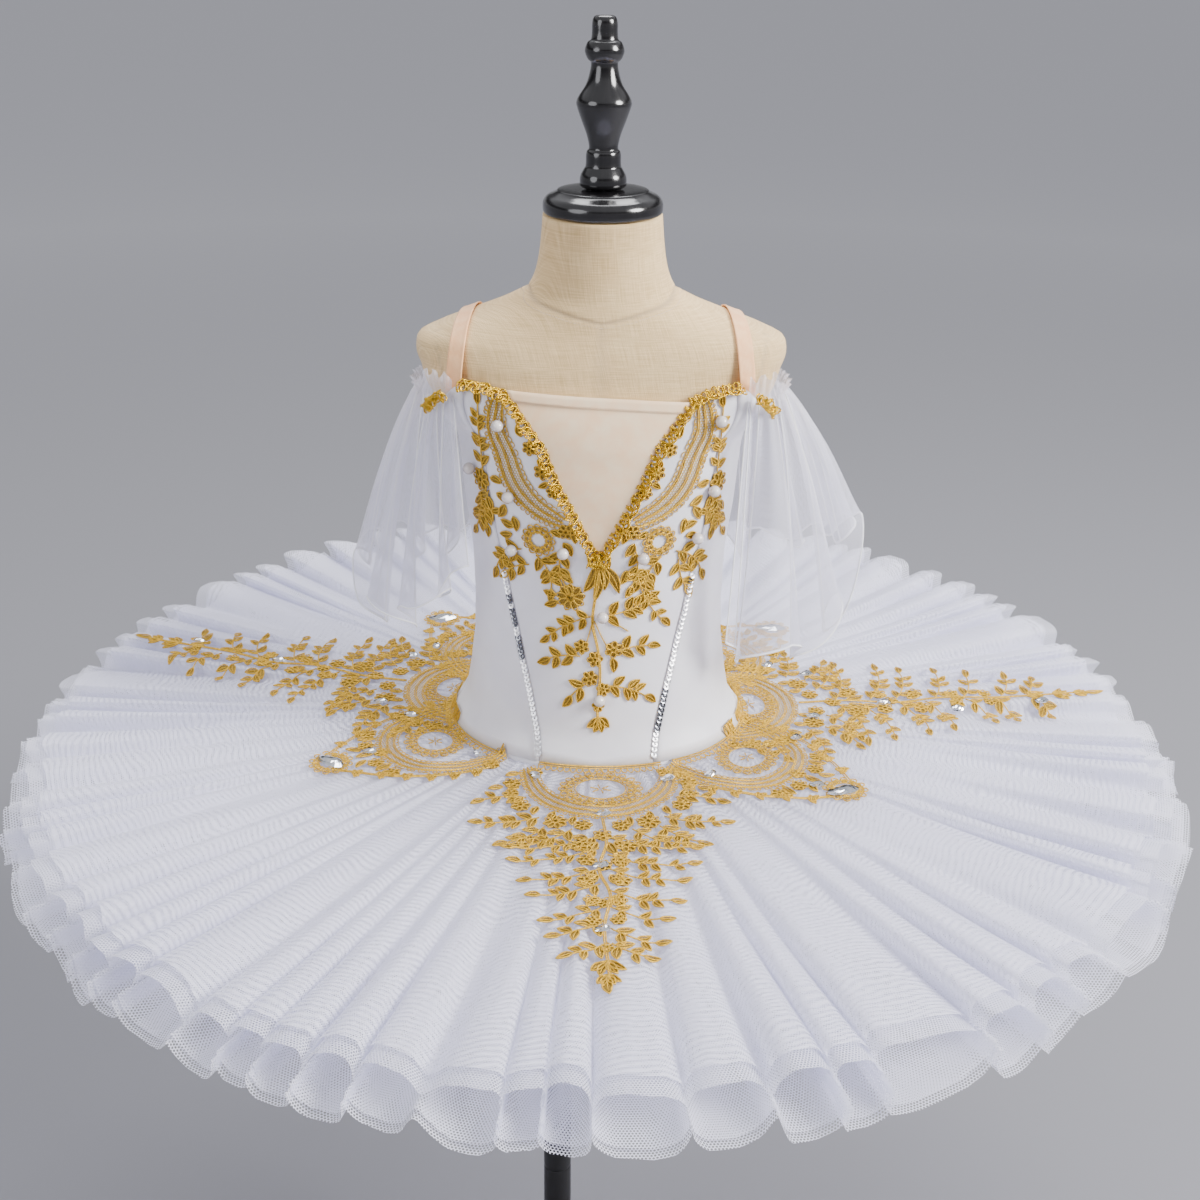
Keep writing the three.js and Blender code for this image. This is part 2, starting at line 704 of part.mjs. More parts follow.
// ---- net skirt ----------------------------------------------------------------------------------

const briefOutside = (z) => formClearance + knitThickness + hipFlare(z);

// A point in the middle of a layer's cloth: share of the way from the hip to the hem.
function netPoint(layer, phi, share, flute) {
  const hip = skin(phi, layer.hipZ, briefOutside(layer.hipZ) + 2 * gap);
  const rim = new THREE.Vector3(
    layer.hemRadius * Math.sin(radians(phi)),
    -layer.hemRadius * Math.cos(radians(phi)),
    layer.hemZ,
  );
  const point = hip.lerp(rim, share);
  point.z += layer.side * layer.hemFlute * flute;
  return point;
}

function netLayer(layer) {
  const count = 2 * fluteCount;
  const grid = (half) => netRings[layer.rings].map(({ share, flute }) => (
    Array.from({ length: count }, (_, i) => {
      const arch = i % 2 ? -1 : 1;
      const point = netPoint(layer, (360 * i) / count, share, arch * flute);
      point.z += half * netThickness;
      return point;
    })
  ));
  return wall(grid(0.5), grid(-0.5), { ring: true, sag: true });
}

netLayers.forEach((layer) => add(body, layer.name, netLayer(layer), net));

// ---- lace round the hip -------------------------------------------------------------------------

// The lace lies on the ridges of the top layer, at a distance from the middle of the body.
function plateLacePoint(azimuth, radius, extra) {
  const layer = netLayers[0];
  const hip = netPoint(layer, azimuth, 0, 0);
  const hipRadius = Math.hypot(hip.x, hip.y);
  const share = THREE.MathUtils.clamp((radius - hipRadius) / (layer.hemRadius - hipRadius), 0, 1);
  const flute = lookUp(netRings[layer.rings], 'share', share, 'flute');
  const ridge = lerp(hip.z, layer.hemZ, share) + layer.hemFlute * flute + netThickness / 2;
  return new THREE.Vector3(
    radius * Math.sin(radians(azimuth)),
    -radius * Math.cos(radians(azimuth)),
    ridge + 1.5 * gap + extra,
  );
}

function plateLace(motif, before, after) {
  const outline = motifOutlines[motif.kind];
  const middle = (other) => (motif.azimuth + other) / 2;
  const columns = 3;
  const grid = (extra) => outline.map(({ share, halfWidth }) => {
    const hip = netPoint(netLayers[0], motif.azimuth, 0, 0);
    const start = Math.hypot(hip.x, hip.y) + plateLaceMargin;
    const radius = lerp(start, motif.reach, share);
    const half = THREE.MathUtils.radToDeg(halfWidth / radius);
    const seam = THREE.MathUtils.radToDeg(gap / radius);
    const from = Math.max(motif.azimuth - half, middle(before) + seam);
    const to = Math.min(motif.azimuth + half, middle(after) - seam);
    return steps(columns).map((s) => plateLacePoint(lerp(from, to, s), radius, extra));
  });
  return wall(grid(laceThickness), grid(0));
}

plateMotifs.forEach((motif, i) => {
  const count = plateMotifs.length;
  const before = i ? plateMotifs[i - 1].azimuth : plateMotifs[count - 1].azimuth - 360;
  const after = i < count - 1 ? plateMotifs[i + 1].azimuth : 360;
  add(body, `plate_lace_${motif.name}`, plateLace(motif, before, after), goldLace);
});

export default tutu;
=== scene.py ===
"""Looks of a ballet tutu on a dress form: satin bodice, gold lace, net skirt and tulle sleeves.

Every shape is worked out in millimetres from the middle of the body, counted up from the skirt
plate, and placed in the row frame by world().
"""

import math

import bpy
import numpy as np
from mathutils import Matrix, Vector
from mathutils.bvhtree import BVHTree

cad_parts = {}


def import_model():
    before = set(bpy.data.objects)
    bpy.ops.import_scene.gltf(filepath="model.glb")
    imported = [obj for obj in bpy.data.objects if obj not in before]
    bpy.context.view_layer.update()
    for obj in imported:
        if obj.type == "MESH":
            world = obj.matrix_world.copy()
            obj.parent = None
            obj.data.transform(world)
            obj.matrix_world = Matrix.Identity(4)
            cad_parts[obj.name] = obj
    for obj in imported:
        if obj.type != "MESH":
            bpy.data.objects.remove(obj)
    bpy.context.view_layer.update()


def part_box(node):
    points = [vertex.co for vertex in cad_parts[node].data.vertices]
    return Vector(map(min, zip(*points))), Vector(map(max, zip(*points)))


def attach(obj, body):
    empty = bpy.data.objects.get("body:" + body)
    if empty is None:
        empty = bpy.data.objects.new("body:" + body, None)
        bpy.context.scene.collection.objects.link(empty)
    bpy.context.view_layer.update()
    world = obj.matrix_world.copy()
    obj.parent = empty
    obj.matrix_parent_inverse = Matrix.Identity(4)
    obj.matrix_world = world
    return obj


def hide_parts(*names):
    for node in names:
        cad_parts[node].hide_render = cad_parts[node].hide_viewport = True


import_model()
rng = np.random.default_rng(7)
TURN = 2 * math.pi

# ---- sizes, in millimetres ----------------------------------------------------------------------

FORM_BOTTOM = -118
CLEARANCE = 0.8  # from the form to the cloth
SATIN = 1.6
SATIN_SHEET = 1.1  # the thickness that shows at an edge
KNIT = 1.2
HIP_SEAM = 13
HIP_SPRING, SPRING_ABOVE, SPRING_BELOW = 7, 23, 20  # the cloth springs off the form at the hip
STRAP_WIDTH = 12
STRAP_FRONT, STRAP_BACK = 107, 88  # from the middle of the body to each end of a strap
STRAP_START, STRAP_SWEEP = 30, 159  # degrees over the shoulder, from level in front
STRAP_HEART = 270  # height of the axis that the straps turn about
BRAID_INSET = 1.0
SLEEVE_START, SLEEVE_SPAN = 47, 87  # degrees round the body, of a sleeve's gathered top
SLEEVE_CLEARANCE = 3.4
SLEEVE_LAP = 0.052  # how far a fold of a sleeve laps its neighbour, as a share of the hem
POLE_TOP_GAP = 0.3
FORM_UNDERCUT, UNDERCUT_TOP, UNDERCUT_FADE = 0.046, 330, 20  # the form is slimmer under cloth
NECK_SEAM = ([0, 27, 80, 130, 180], [350, 357, 366, 362, 358])  # angle from the front, height
FLUTES = 72
DROP_REACH, SIDE_DROP_REACH, MEDALLION_REACH = 370, 434, 243  # how far out the plate's lace runs

# The form's sections: height, half width, half depth, squareness.
FORM = np.array([
    (-118, 96, 76, 2), (-104, 110, 90, 2), (-60, 116, 95, 2), (0, 113, 92, 2), (40, 104, 85, 2),
    (80, 98, 79, 2), (115, 96, 77, 2), (160, 97, 78, 2), (205, 102, 81, 2.1), (245, 105, 83, 2.2),
    (262, 108, 83, 2.2), (280, 126, 80, 2.2), (296, 137.5, 74, 2.3), (316, 142, 66, 2.4),
    (328, 138, 60, 2.3), (337, 122, 56, 2.2), (346, 98, 53, 2.1), (357, 70, 50, 2),
    (366, 54, 47.5, 2), (383, 47.5, 45.5, 2), (400, 45, 44, 2), (418, 43.5, 43.5, 2),
])
# Angle round the body against height, for the bodice's top edge and its princess seam.
NECKLINE = np.array([
    (0, 181), (4.5, 195), (10, 218), (17, 249), (22, 279), (25, 297), (31, 304), (40, 306),
    (46, 303), (57, 290), (75, 264), (92, 252), (135, 261), (180, 264),
])
VEE_ROWS = 6  # rows of NECKLINE down the vee
PRINCESS = np.array([(13, 22), (60, 30), (100, 37), (150, 44.5), (185, 48), (259, 51), (306, 40)])
SIDE_SEAM = 92

# Turned black wood: height and radius.
NECK_CAP = [(418.3, 42), (421, 43.6), (427, 43.6), (431, 41), (433, 36), (434.5, 33.6), (436, 32.6)]
FINIAL = [
    (436.3, 16.9), (445, 16.9), (450, 14), (452, 12.6), (462, 12.6), (464, 10), (473, 11.9),
    (483, 15.9), (491, 18.8), (495, 19.9), (499, 18.7), (508, 12.2), (522, 8.8), (524, 12),
    (530, 14.4), (536, 12), (537, 9), (553, 9),
]

# Lace on the plate: azimuth of each motif, and how far out each drop runs.
DROPS = (
    ("drop_front", 1.6, DROP_REACH), ("drop_right", 95, SIDE_DROP_REACH),
    ("drop_back", 179, DROP_REACH), ("drop_left", 254, SIDE_DROP_REACH),
)
MEDALLIONS = (
    ("medallion_front_right", 57), ("medallion_back_right", 135),
    ("medallion_back_left", 220), ("medallion_front_left", 294),
)

# Net layers from the top: hem radius, hip height, hem height, side (1 arches up, -1 dips).
LAYERS = {
    "net_top": dict(rim=440, hip=9, hem=7, side=1, rows=44, columns=20),
    "net_second": dict(rim=453, hip=0, hem=4, side=1, rows=16, columns=14),
    "net_third": dict(rim=464, hip=-9, hem=-11.5, side=-1, rows=16, columns=14),
    "net_under": dict(rim=469, hip=-18, hem=-14.5, side=-1, rows=16, columns=14),
}
# How the flutes differ round the plate, by azimuth: spacing at the rim, arch, tangential lean
# and how far each rolls back under itself.
FLUTE_LOOK = np.array([
    # azimuth, spacing, arch, lean, roll
    (-180, 36, 8, 1.2, 0.3), (-130, 40, 9, 1.6, 0.2), (-95, 40, 8.5, 1.2, 0.3), (-60, 35, 8.5, 0.6, 0.7),
    (-30, 33, 8.6, 0.4, 1.1), (0, 38, 8.8, 0.1, 1.1), (25, 47, 8.8, -0.8, 0.9), (55, 51, 9, -1.3, 0.5),
    (95, 40, 8.5, -1.5, 0.3), (140, 36, 9, -0.8, 0.4), (180, 36, 8, 1.2, 0.3),
])
ARCH_GROWTH = np.array([(0, 0.08), (0.42, 0.2), (0.72, 0.56), (1, 1)])  # share of radius, of arch


# ---- curves and the form's surface --------------------------------------------------------------

def linear(table, at, column=1):
    return np.interp(at, table[:, 0], table[:, column])


def smooth(table, at, column=1):
    """A cubic through a table's points that never overshoots them."""
    keys, values = table[:, 0], table[:, column]
    step = np.diff(keys)
    slope = np.diff(values) / step
    tangent = np.concatenate([slope[:1], np.zeros(len(slope) - 1), slope[-1:]])
    both = slope[:-1] * slope[1:] > 0
    tangent[1:-1][both] = (2 * slope[:-1] * slope[1:])[both] / (slope[:-1] + slope[1:])[both]
    at = np.asarray(at, float)
    i = np.clip(np.searchsorted(keys, at, side="right") - 1, 0, len(step) - 1)
    t = np.clip((at - keys[i]) / step[i], 0, 1)
    return ((1 + 2 * t) * (1 - t) ** 2 * values[i] + t * (1 - t) ** 2 * step[i] * tangent[i]
            + t ** 2 * (3 - 2 * t) * values[i + 1] + t ** 2 * (t - 1) * step[i] * tangent[i + 1])


def unit(v):
    return v / np.maximum(np.linalg.norm(v, axis=-1, keepdims=True), 1e-9)


def form_point(phi, z):
    """The form's skin at an angle round it, in degrees (0 in front, 90 on the wearer's left)."""
    phi, z = np.broadcast_arrays(np.asarray(phi, float), np.asarray(z, float))
    sine, cosine = np.sin(np.radians(phi)), np.cos(np.radians(phi))
    power = 2 / smooth(FORM, z, 3)
    x = smooth(FORM, z, 1) * np.sign(sine) * np.abs(sine) ** power
    y = smooth(FORM, z, 2) * np.sign(cosine) * np.abs(cosine) ** power
    return np.stack([x, -y, z], -1)


def skin(phi, z, offset):
    phi, z = np.broadcast_arrays(np.asarray(phi, float), np.asarray(z, float))
    around = form_point(phi + 1, z) - form_point(phi - 1, z)
    up = form_point(phi, z + 1) - form_point(phi, z - 1)
    return form_point(phi, z) + unit(np.cross(around, up)) * np.asarray(offset, float)[..., None]


def hip_flare(z):
    above = np.clip(1 - (z - HIP_SEAM) / SPRING_ABOVE, 0, 1)
    below = np.clip(1 - (HIP_SEAM - z) / SPRING_BELOW, 0, 1)
    return HIP_SPRING * np.where(z >= HIP_SEAM, above ** 1.3, below)


def satin_skin(z):
    return CLEARANCE + SATIN + hip_flare(z)


def bell(x, width):
    return np.exp(-((x / width) ** 2))


def catmull(points, count):
    """A smooth open path of count points through given ones."""
    p = np.asarray(points, float)
    p = np.concatenate([[2 * p[0] - p[1]], p, [2 * p[-1] - p[-2]]])
    at = np.linspace(0, len(p) - 3 - 1e-9, count)
    i = at.astype(int)
    t = (at - i)[:, None]
    a, b, c, d = p[i], p[i + 1], p[i + 2], p[i + 3]
    return 0.5 * (2 * b + (c - a) * t + (2 * a - 5 * b + 4 * c - d) * t ** 2
                  + (3 * b - a - 3 * c + d) * t ** 3)


def lengths(path):
    return np.concatenate([[0], np.cumsum(np.linalg.norm(np.diff(path, axis=0), axis=1))])


def even(path, count):
    """The same path with points evenly spaced along it."""
    path = np.asarray(path, float)
    run = lengths(path)
    at = np.linspace(0, run[-1], count)
    return np.stack([np.interp(at, run, path[:, k]) for k in range(path.shape[1])], -1)


# ---- meshes -------------------------------------------------------------------------------------

plate_low, plate_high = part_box("form_torso")
BODY = np.array([(plate_low.x + plate_high.x) / 2, 0, plate_low.z - FORM_BOTTOM / 1000])


def world(points):
    return BODY + np.asarray(points, float) / 1000


def grid_faces(rows, columns, closed=False, start=0):
    i, j = np.meshgrid(np.arange(rows - 1), np.arange(columns if closed else columns - 1), indexing="ij")
    k = (j + 1) % columns
    return start + np.stack([i * columns + j, i * columns + k, (i + 1) * columns + k, (i + 1) * columns + j],
                            -1).reshape(-1, 4)


def make(name, points, faces, materials, uv=None, which=None, flat=False, seam=None):
    """A mesh object. uv, in metres, and seam are one value a vertex; which is a material index a face."""
    mesh = bpy.data.meshes.new(name)
    mesh.from_pydata(world(points).tolist(), [], [list(f) for f in faces])
    for m in materials:
        mesh.materials.append(m)
    if uv is not None:
        corner = np.zeros(len(mesh.loops), np.int32)
        mesh.loops.foreach_get("vertex_index", corner)
        layer = mesh.uv_layers.new(name="cloth")
        layer.data.foreach_set("uv", np.asarray(uv, np.float32)[corner].ravel())
    if which is not None:
        mesh.polygons.foreach_set("material_index", np.asarray(which, np.int32))
    if seam is not None:
        mesh.attributes.new("seam", "FLOAT", "POINT").data.foreach_set("value", np.asarray(seam, np.float32).ravel())
    mesh.polygons.foreach_set("use_smooth", [not flat] * len(mesh.polygons))
    mesh.update()
    obj = bpy.data.objects.new(name, mesh)
    bpy.context.scene.collection.objects.link(obj)
    return obj


def grid_uv(points):
    """Metres along each row and column of a grid of points."""
    across = np.cumsum(np.linalg.norm(np.diff(points, axis=1, prepend=points[:, :1]), axis=2), axis=1)
    along = np.cumsum(np.linalg.norm(np.diff(points, axis=0, prepend=points[:1]), axis=2), axis=0)
    return np.stack([across - across[:, -1:] / 2, along], -1) / 1000


def grid_area(p):
    """Square metres of a grid of points."""
    a, b, c, d = p[:-1, :-1], p[:-1, 1:], p[1:, 1:], p[1:, :-1]
    return float(np.linalg.norm(np.cross(c - a, d - b), axis=2).sum()) / 2e6


def flared_area(edge, other_edge, depth):
    """Square metres of a flat flared piece, from the lengths of its two edges and its depth."""
    return (edge + other_edge) / 2 * depth


def shell(name, outer, inner, materials, uv=None, seam=None):
    """A closed wall between two grids of points."""
    rows, columns = outer.shape[:2]
    count = rows * columns
    front = grid_faces(rows, columns)
    back = grid_faces(rows, columns, start=count)[:, ::-1]
    edge = np.concatenate([np.arange(columns), np.arange(2 * columns - 1, count, columns),
                           np.arange(count - 2, count - columns - 1, -1),
                           np.arange(count - 2 * columns, 0, -columns)])
    turn = np.roll(edge, -1)
    rim = np.stack([edge, edge + count, turn + count, turn], -1)
    uv = grid_uv(outer) if uv is None else uv
    twice = None if seam is None else np.concatenate([seam.ravel()] * 2)
    return make(name, np.concatenate([outer.reshape(-1, 3), inner.reshape(-1, 3)]),
                np.concatenate([front, back, rim]), materials, np.concatenate([uv.reshape(-1, 2)] * 2), seam=twice)


def tube(path, normal, radius, sides=5):
    """Rings of points round a path, the faces between them and their UVs in metres."""
    ahead = unit(np.gradient(path, axis=0))
    side = unit(np.cross(ahead, normal))
    up = np.cross(side, ahead)
    turn = np.arange(sides) / sides * TURN
    radius = np.broadcast_to(radius, len(path))[:, None, None]
    rings = path[:, None] + radius * (side[:, None] * np.cos(turn)[:, None] + up[:, None] * np.sin(turn)[:, None])
    uv = np.stack(np.broadcast_arrays(lengths(path)[:, None] / 1000, np.arange(sides) / sides / 1000), -1)
    return rings.reshape(-1, 3), grid_faces(len(path), sides, closed=True), uv.reshape(-1, 2)


class Bundle:
    """Many small meshes joined into one."""

    def __init__(self):
        self.points, self.faces, self.uv, self.which, self.count = [], [], [], [], 0

    def add(self, points, faces, uv, index=0):
        self.points.append(points)
        self.faces.extend((np.asarray(f) + self.count).tolist() for f in faces)
        self.uv.append(uv)
        self.which.extend([index] * len(faces))
        self.count += len(points)

    def build(self, name, materials, flat=False):
        return make(name, np.concatenate(self.points), self.faces, materials,
                    np.concatenate(self.uv), self.which, flat)


def dress(obj, slot, *nodes):
    """The piece rides on the body and stands for its CAD nodes, which it hides. slot is not used."""
    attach(obj, "root")
    if nodes:
        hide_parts(*nodes)
    return obj


# ---- materials ----------------------------------------------------------------------------------

class Shader:
    """A node material with short helpers."""

    def __init__(self, name, **settings):
        self.material = bpy.data.materials.new(name)
        self.material.use_nodes = True
        self.nodes, self.links = self.material.node_tree.nodes, self.material.node_tree.links
        self.surface = self.nodes["Principled BSDF"]
        self.output = self.nodes["Material Output"]
        self.base = self.surface.inputs["Base Color"]
        for key, value in settings.items():
            self.surface.inputs[key.replace("_", " ")].default_value = value

    def node(self, kind, output=0, inputs=(), **settings):
        n = self.nodes.new("ShaderNode" + kind)
        for key, value in settings.items():
            setattr(n, key, value)
        for key, value in dict(inputs).items():
            self.put(value, n.inputs[key])
        return n.outputs[output]

    def put(self, value, socket):
        if isinstance(value, bpy.types.NodeSocket):
            self.links.new(value, socket)
        else:
            socket.default_value = value

    def math(self, operation, *values):
        return self.node("Math", inputs=enumerate(values), operation=operation)

    def vector(self, operation, *values, output="Vector"):
        return self.node("VectorMath", output, enumerate(values), operation=operation)

    def uv(self):
        """The cloth's UV in millimetres."""
        return self.vector("MULTIPLY", self.node("UVMap", uv_map="cloth"), (1000, 1000, 1000))

    # The seam attribute: a share of painted shade that darkens cloth along its sunk seams and folds.
    def seam(self):
        return self.node("Attribute", 2, attribute_name="seam")

    def parts(self, vector):
        split = self.node("SeparateXYZ", inputs={0: vector}).node
        return split.outputs[0], split.outputs[1]

    def mix(self, share, a, b):
        n = self.nodes.new("ShaderNodeMix")
        n.data_type = "RGBA"
        self.put(share, n.inputs[0])
        self.put(a, n.inputs[6])
        self.put(b, n.inputs[7])
        return n.outputs[2]

    def wave(self, value, pitch, shift=0.0):
        return self.math("SINE", self.math("MULTIPLY_ADD", value, TURN / pitch, shift))

    def noise(self, vector, scale, detail=2.0):
        return self.node("TexNoise", 0, {"Vector": vector, "Scale": scale, "Detail": detail})

    def stretch(self, vector, x, y):
        return self.vector("MULTIPLY", vector, (x, y, 1))

    def steps(self, value, low, high, to_low=0.0, to_high=1.0):
        return self.node("MapRange", 0, {0: value, 1: low, 2: high, 3: to_low, 4: to_high})

    def bump(self, height, strength, distance):
        """Distance in millimetres."""
        normal = self.node("Bump", 0, {"Height": height, "Strength": strength, "Distance": distance / 1000})
        self.put(normal, self.surface.inputs["Normal"])

    def weave(self, uv, pitch):
        """Height of a plain weave of that thread spacing."""
        x, y = self.parts(uv)
        return self.math("MULTIPLY", self.wave(x, pitch), self.wave(y, pitch))


def linen():
    s = Shader("linen", Roughness=0.88, Sheen_Weight=0.15)
    uv = s.uv()
    warp = s.noise(s.stretch(uv, 1.4, 0.05), 1.0)
    weft = s.noise(s.stretch(uv, 0.05, 1.4), 1.0)
    thread = s.math("ADD", warp, weft)
    patch = s.noise(uv, 0.02)
    shade = s.steps(s.math("MULTIPLY_ADD", patch, 0.4, thread), 0.85, 1.6)
    colour = s.mix(shade, (0.60, 0.40, 0.18, 1), (0.90, 0.67, 0.36, 1))
    # Painted shade: the linen darkens along the form's sunk seams.
    seam = s.seam()
    s.put(s.mix(seam, colour, (0.38, 0.28, 0.18, 1)), s.base)
    s.bump(s.math("ADD", thread, s.math("MULTIPLY", s.weave(uv, 0.9), 0.3)), 0.5, 0.35)
    return s.material


def satin():
    s = Shader("satin", Roughness=0.4, Sheen_Weight=0.25, Sheen_Roughness=0.5)
    uv = s.uv()
    shade = s.noise(uv, 0.03)
    seam = s.seam()
    colour = s.mix(s.steps(shade, 0.3, 0.7), (0.80, 0.79, 0.86, 1), (0.87, 0.87, 0.92, 1))
    # Painted shade: the satin darkens in the sunk grooves along its panel seams.
    s.put(s.mix(seam, colour, (0.55, 0.53, 0.62, 1)), s.base)
    s.put(s.steps(shade, 0.3, 0.7, 0.36, 0.46), s.surface.inputs["Roughness"])
    thread = s.math("ADD", s.weave(uv, 0.5), s.noise(s.stretch(uv, 3, 0.3), 1.0))
    s.bump(thread, 0.12, 0.1)
    return s.material


def knit(name, dark, light, pitch):
    s = Shader(name, Roughness=0.7, Sheen_Weight=0.3)
    uv = s.uv()
    x, y = s.parts(uv)
    ribs = s.math("MULTIPLY_ADD", s.wave(x, pitch), 0.6, s.math("MULTIPLY", s.wave(y, pitch * 0.8), 0.4))
    # Partly random tone, partly painted shade: the ribs that raise the bump also darken the colour in their valleys.
    shade = s.math("MULTIPLY_ADD", ribs, 0.12, s.noise(uv, 0.08))
    seam = s.seam()
    colour = s.mix(s.steps(shade, 0.3, 0.7), dark, light)
    # Painted shade: darker where the seam attribute marks a sunk line, such as the foot of the insert's folded hem.
    s.put(s.mix(seam, colour, tuple(0.72 * c for c in dark[:3]) + (1,)), s.base)
    s.bump(ribs, 0.35, 0.15)
    return s.material


def hexagons(s, uv, cell, strand):
    """1 on the strands of a hexagon net and 0 in its holes. strand is a strand's share of a cell."""
    ratio = (1, math.sqrt(3), 1)
    back = tuple(1 / r for r in ratio)
    half = tuple(r / 2 for r in ratio)
    at = s.vector("MULTIPLY", uv, (1 / cell, 1 / cell, 0))

    def lattice(v):
        share = s.vector("FRACTION", s.vector("MULTIPLY", v, back))
        return s.vector("MULTIPLY", s.vector("SUBTRACT", s.vector("MULTIPLY", share, ratio), half), (1, 1, 0))

    a = lattice(at)
    b = lattice(s.vector("SUBTRACT", at, half))
    nearer = s.math("LESS_THAN", s.vector("LENGTH", a, output="Value"), s.vector("LENGTH", b, output="Value"))
    pick = s.nodes.new("ShaderNodeMix")
    pick.data_type = "VECTOR"
    s.put(nearer, pick.inputs[0])
    s.put(b, pick.inputs[4])
    s.put(a, pick.inputs[5])
    g = s.vector("ABSOLUTE", pick.outputs[1])
    slant = s.vector("DOT_PRODUCT", g, (0.5, math.sqrt(3) / 2, 0), output="Value")
    edge = s.math("MAXIMUM", s.parts(g)[0], slant)
    return s.math("GREATER_THAN", edge, s.math("MULTIPLY_ADD", strand, -0.5, 0.5))


def net(name, cell, strand, edge=0.0, colour=(0.89, 0.89, 1.0, 1), glow=0.4, ribs=0.0):
    """Open net: thin cloth that passes light, with real holes. edge is a solid hem's width."""
    s = Shader(name, Base_Color=colour, Roughness=0.6, Sheen_Weight=0.2)
    uv = s.uv()
    if ribs:
        x, y = s.parts(uv)
        drift = s.math("MULTIPLY", s.noise(uv, 0.012), 40.0)
        band = s.wave(s.math("MULTIPLY_ADD", x, 0.12, s.math("ADD", y, drift)), 4.6)
        strand = s.math("MULTIPLY_ADD", band, ribs, strand)
    strands = hexagons(s, uv, cell, strand)
    if edge:
        strands = s.math("MAXIMUM", strands, s.math("LESS_THAN", s.parts(uv)[1], edge))
    through = s.node("BsdfTranslucent", inputs={"Color": colour})
    cloth = s.node("MixShader", inputs={0: glow, 1: s.surface.outputs[0], 2: through})
    clear = s.node("BsdfTransparent")
    s.put(s.node("MixShader", inputs={0: strands, 1: clear, 2: cloth}), s.output.inputs[0])
    return s.material


def gold(name, colour, roughness, metallic, twist=0.9):
    """Metallic thread wound round a cord."""
    s = Shader(name, Roughness=roughness, Metallic=metallic, Specular_IOR_Level=0.4)
    uv = s.uv()
    x, y = s.parts(uv)
    wound = s.wave(s.math("MULTIPLY_ADD", y, twist, x), twist)
    # Partly random tone, partly painted shade: the winding that raises the bump also darkens the colour in its
    # troughs.
    shade = s.math("MULTIPLY_ADD", wound, 0.15, s.noise(uv, 0.5))
    dark = tuple(0.55 * c for c in colour) + (1,)
    light = tuple(min(1.25 * c, 1) for c in colour) + (1,)
    s.put(s.mix(s.steps(shade, 0.25, 0.75), dark, light), s.base)
    s.bump(wound, 0.6, 0.2)
    return s.material


def gold_fill():
    """Close stitches that fill a leaf or petal."""
    s = Shader("gold_fill", Roughness=0.55, Metallic=0.25)
    uv = s.uv()
    x, y = s.parts(uv)
    rows = s.wave(s.math("ADD", x, s.math("MULTIPLY", y, 0.35)), 1.3)
    cross = s.wave(s.math("SUBTRACT", y, s.math("MULTIPLY", x, 0.2)), 2.3)
    height = s.math("MULTIPLY_ADD", cross, 0.4, rows)
    # Painted shade: the colour follows the bump's height, dark in the valleys between stitch rows and light on their
    # crests.
    colour = s.mix(s.steps(height, -1.0, 1.0), (0.22, 0.13, 0.01, 1), (0.54, 0.35, 0.05, 1))
    s.put(colour, s.base)
    s.bump(height, 0.7, 0.25)
    return s.material


def lace_ground():
    """Fine gold mesh with small holes, under medallions and crescents."""
    s = Shader("lace_ground", Base_Color=(0.52, 0.33, 0.05, 1), Roughness=0.6, Metallic=0.2)
    strands = hexagons(s, s.uv(), 2.2, 0.26)
    clear = s.node("BsdfTransparent")
    s.put(s.node("MixShader", inputs={0: strands, 1: clear, 2: s.surface.outputs[0]}), s.output.inputs[0])
    return s.material


def silver(name, colour, roughness, light=(0.95, 0.93, 0.94, 1)):
    s = Shader(name, Metallic=1.0, Roughness=roughness)
    uv = s.uv()
    tint = s.noise(uv, 0.2)
    s.put(s.mix(s.steps(tint, 0.3, 0.7), colour, light), s.base)
    s.put(s.steps(s.noise(uv, 1.5), 0.3, 0.8, roughness * 0.6, roughness * 1.5), s.surface.inputs["Roughness"])
    return s.material


def pearl():
    s = Shader("pearl", Roughness=0.22, Coat_Weight=0.6, Coat_Roughness=0.08, Specular_IOR_Level=0.6)
    # Painted shade: the pearl turns darker towards its rim, where it faces away from the camera.
    painted_rim_shade = s.node("LayerWeight", 1, {0: 0.4})
    colour = s.mix(painted_rim_shade, (0.82, 0.76, 0.72, 1), (0.40, 0.35, 0.36, 1))
    s.put(colour, s.base)
    s.bump(s.noise(s.uv(), 0.6), 0.1, 0.1)
    return s.material


def black(name, roughness, coat):
    s = Shader(name, Roughness=roughness, Coat_Weight=coat, Coat_Roughness=0.08)
    uv = s.uv()
    grain = s.noise(s.stretch(uv, 0.4, 0.03), 1.0, 4.0)
    s.put(s.mix(grain, (0.003, 0.003, 0.0035, 1), (0.012, 0.011, 0.012, 1)), s.base)
    s.put(s.steps(grain, 0.3, 0.7, roughness * 0.8, roughness * 1.3), s.surface.inputs["Roughness"])
    s.bump(grain, 0.12, 0.2)
    return s.material


LINEN, SATIN_CLOTH = linen(), satin()
NUDE = knit("nude_knit", (1.0, 0.68, 0.40, 1), (1.0, 0.78, 0.52, 1), 0.7)
ELASTIC = knit("elastic", (0.92, 0.46, 0.20, 1), (1.0, 0.60, 0.31, 1), 1.1)
NET_FINE = net("net_fine", 1.7, 0.42, ribs=0.24)
NET = net("net", 2.2, 0.34)
TULLE = net("tulle", 1.3, 0.29, edge=1.3, colour=(0.86, 0.86, 0.98, 1), glow=0.3)
TULLE_EDGE = knit("tulle_edge", (0.90, 0.90, 0.98, 1), (1.0, 1.0, 1.0, 1), 0.5)
GOLD_CORD = gold("gold_cord", (0.80, 0.49, 0.05), 0.36, 0.6)
GOLD_FILL, LACE_GROUND = gold_fill(), lace_ground()
BRAID = gold("gold_braid", (0.82, 0.51, 0.04), 0.26, 0.9, twist=0.9)
SEQUIN = silver("sequin", (0.86, 0.87, 0.90, 1), 0.42)
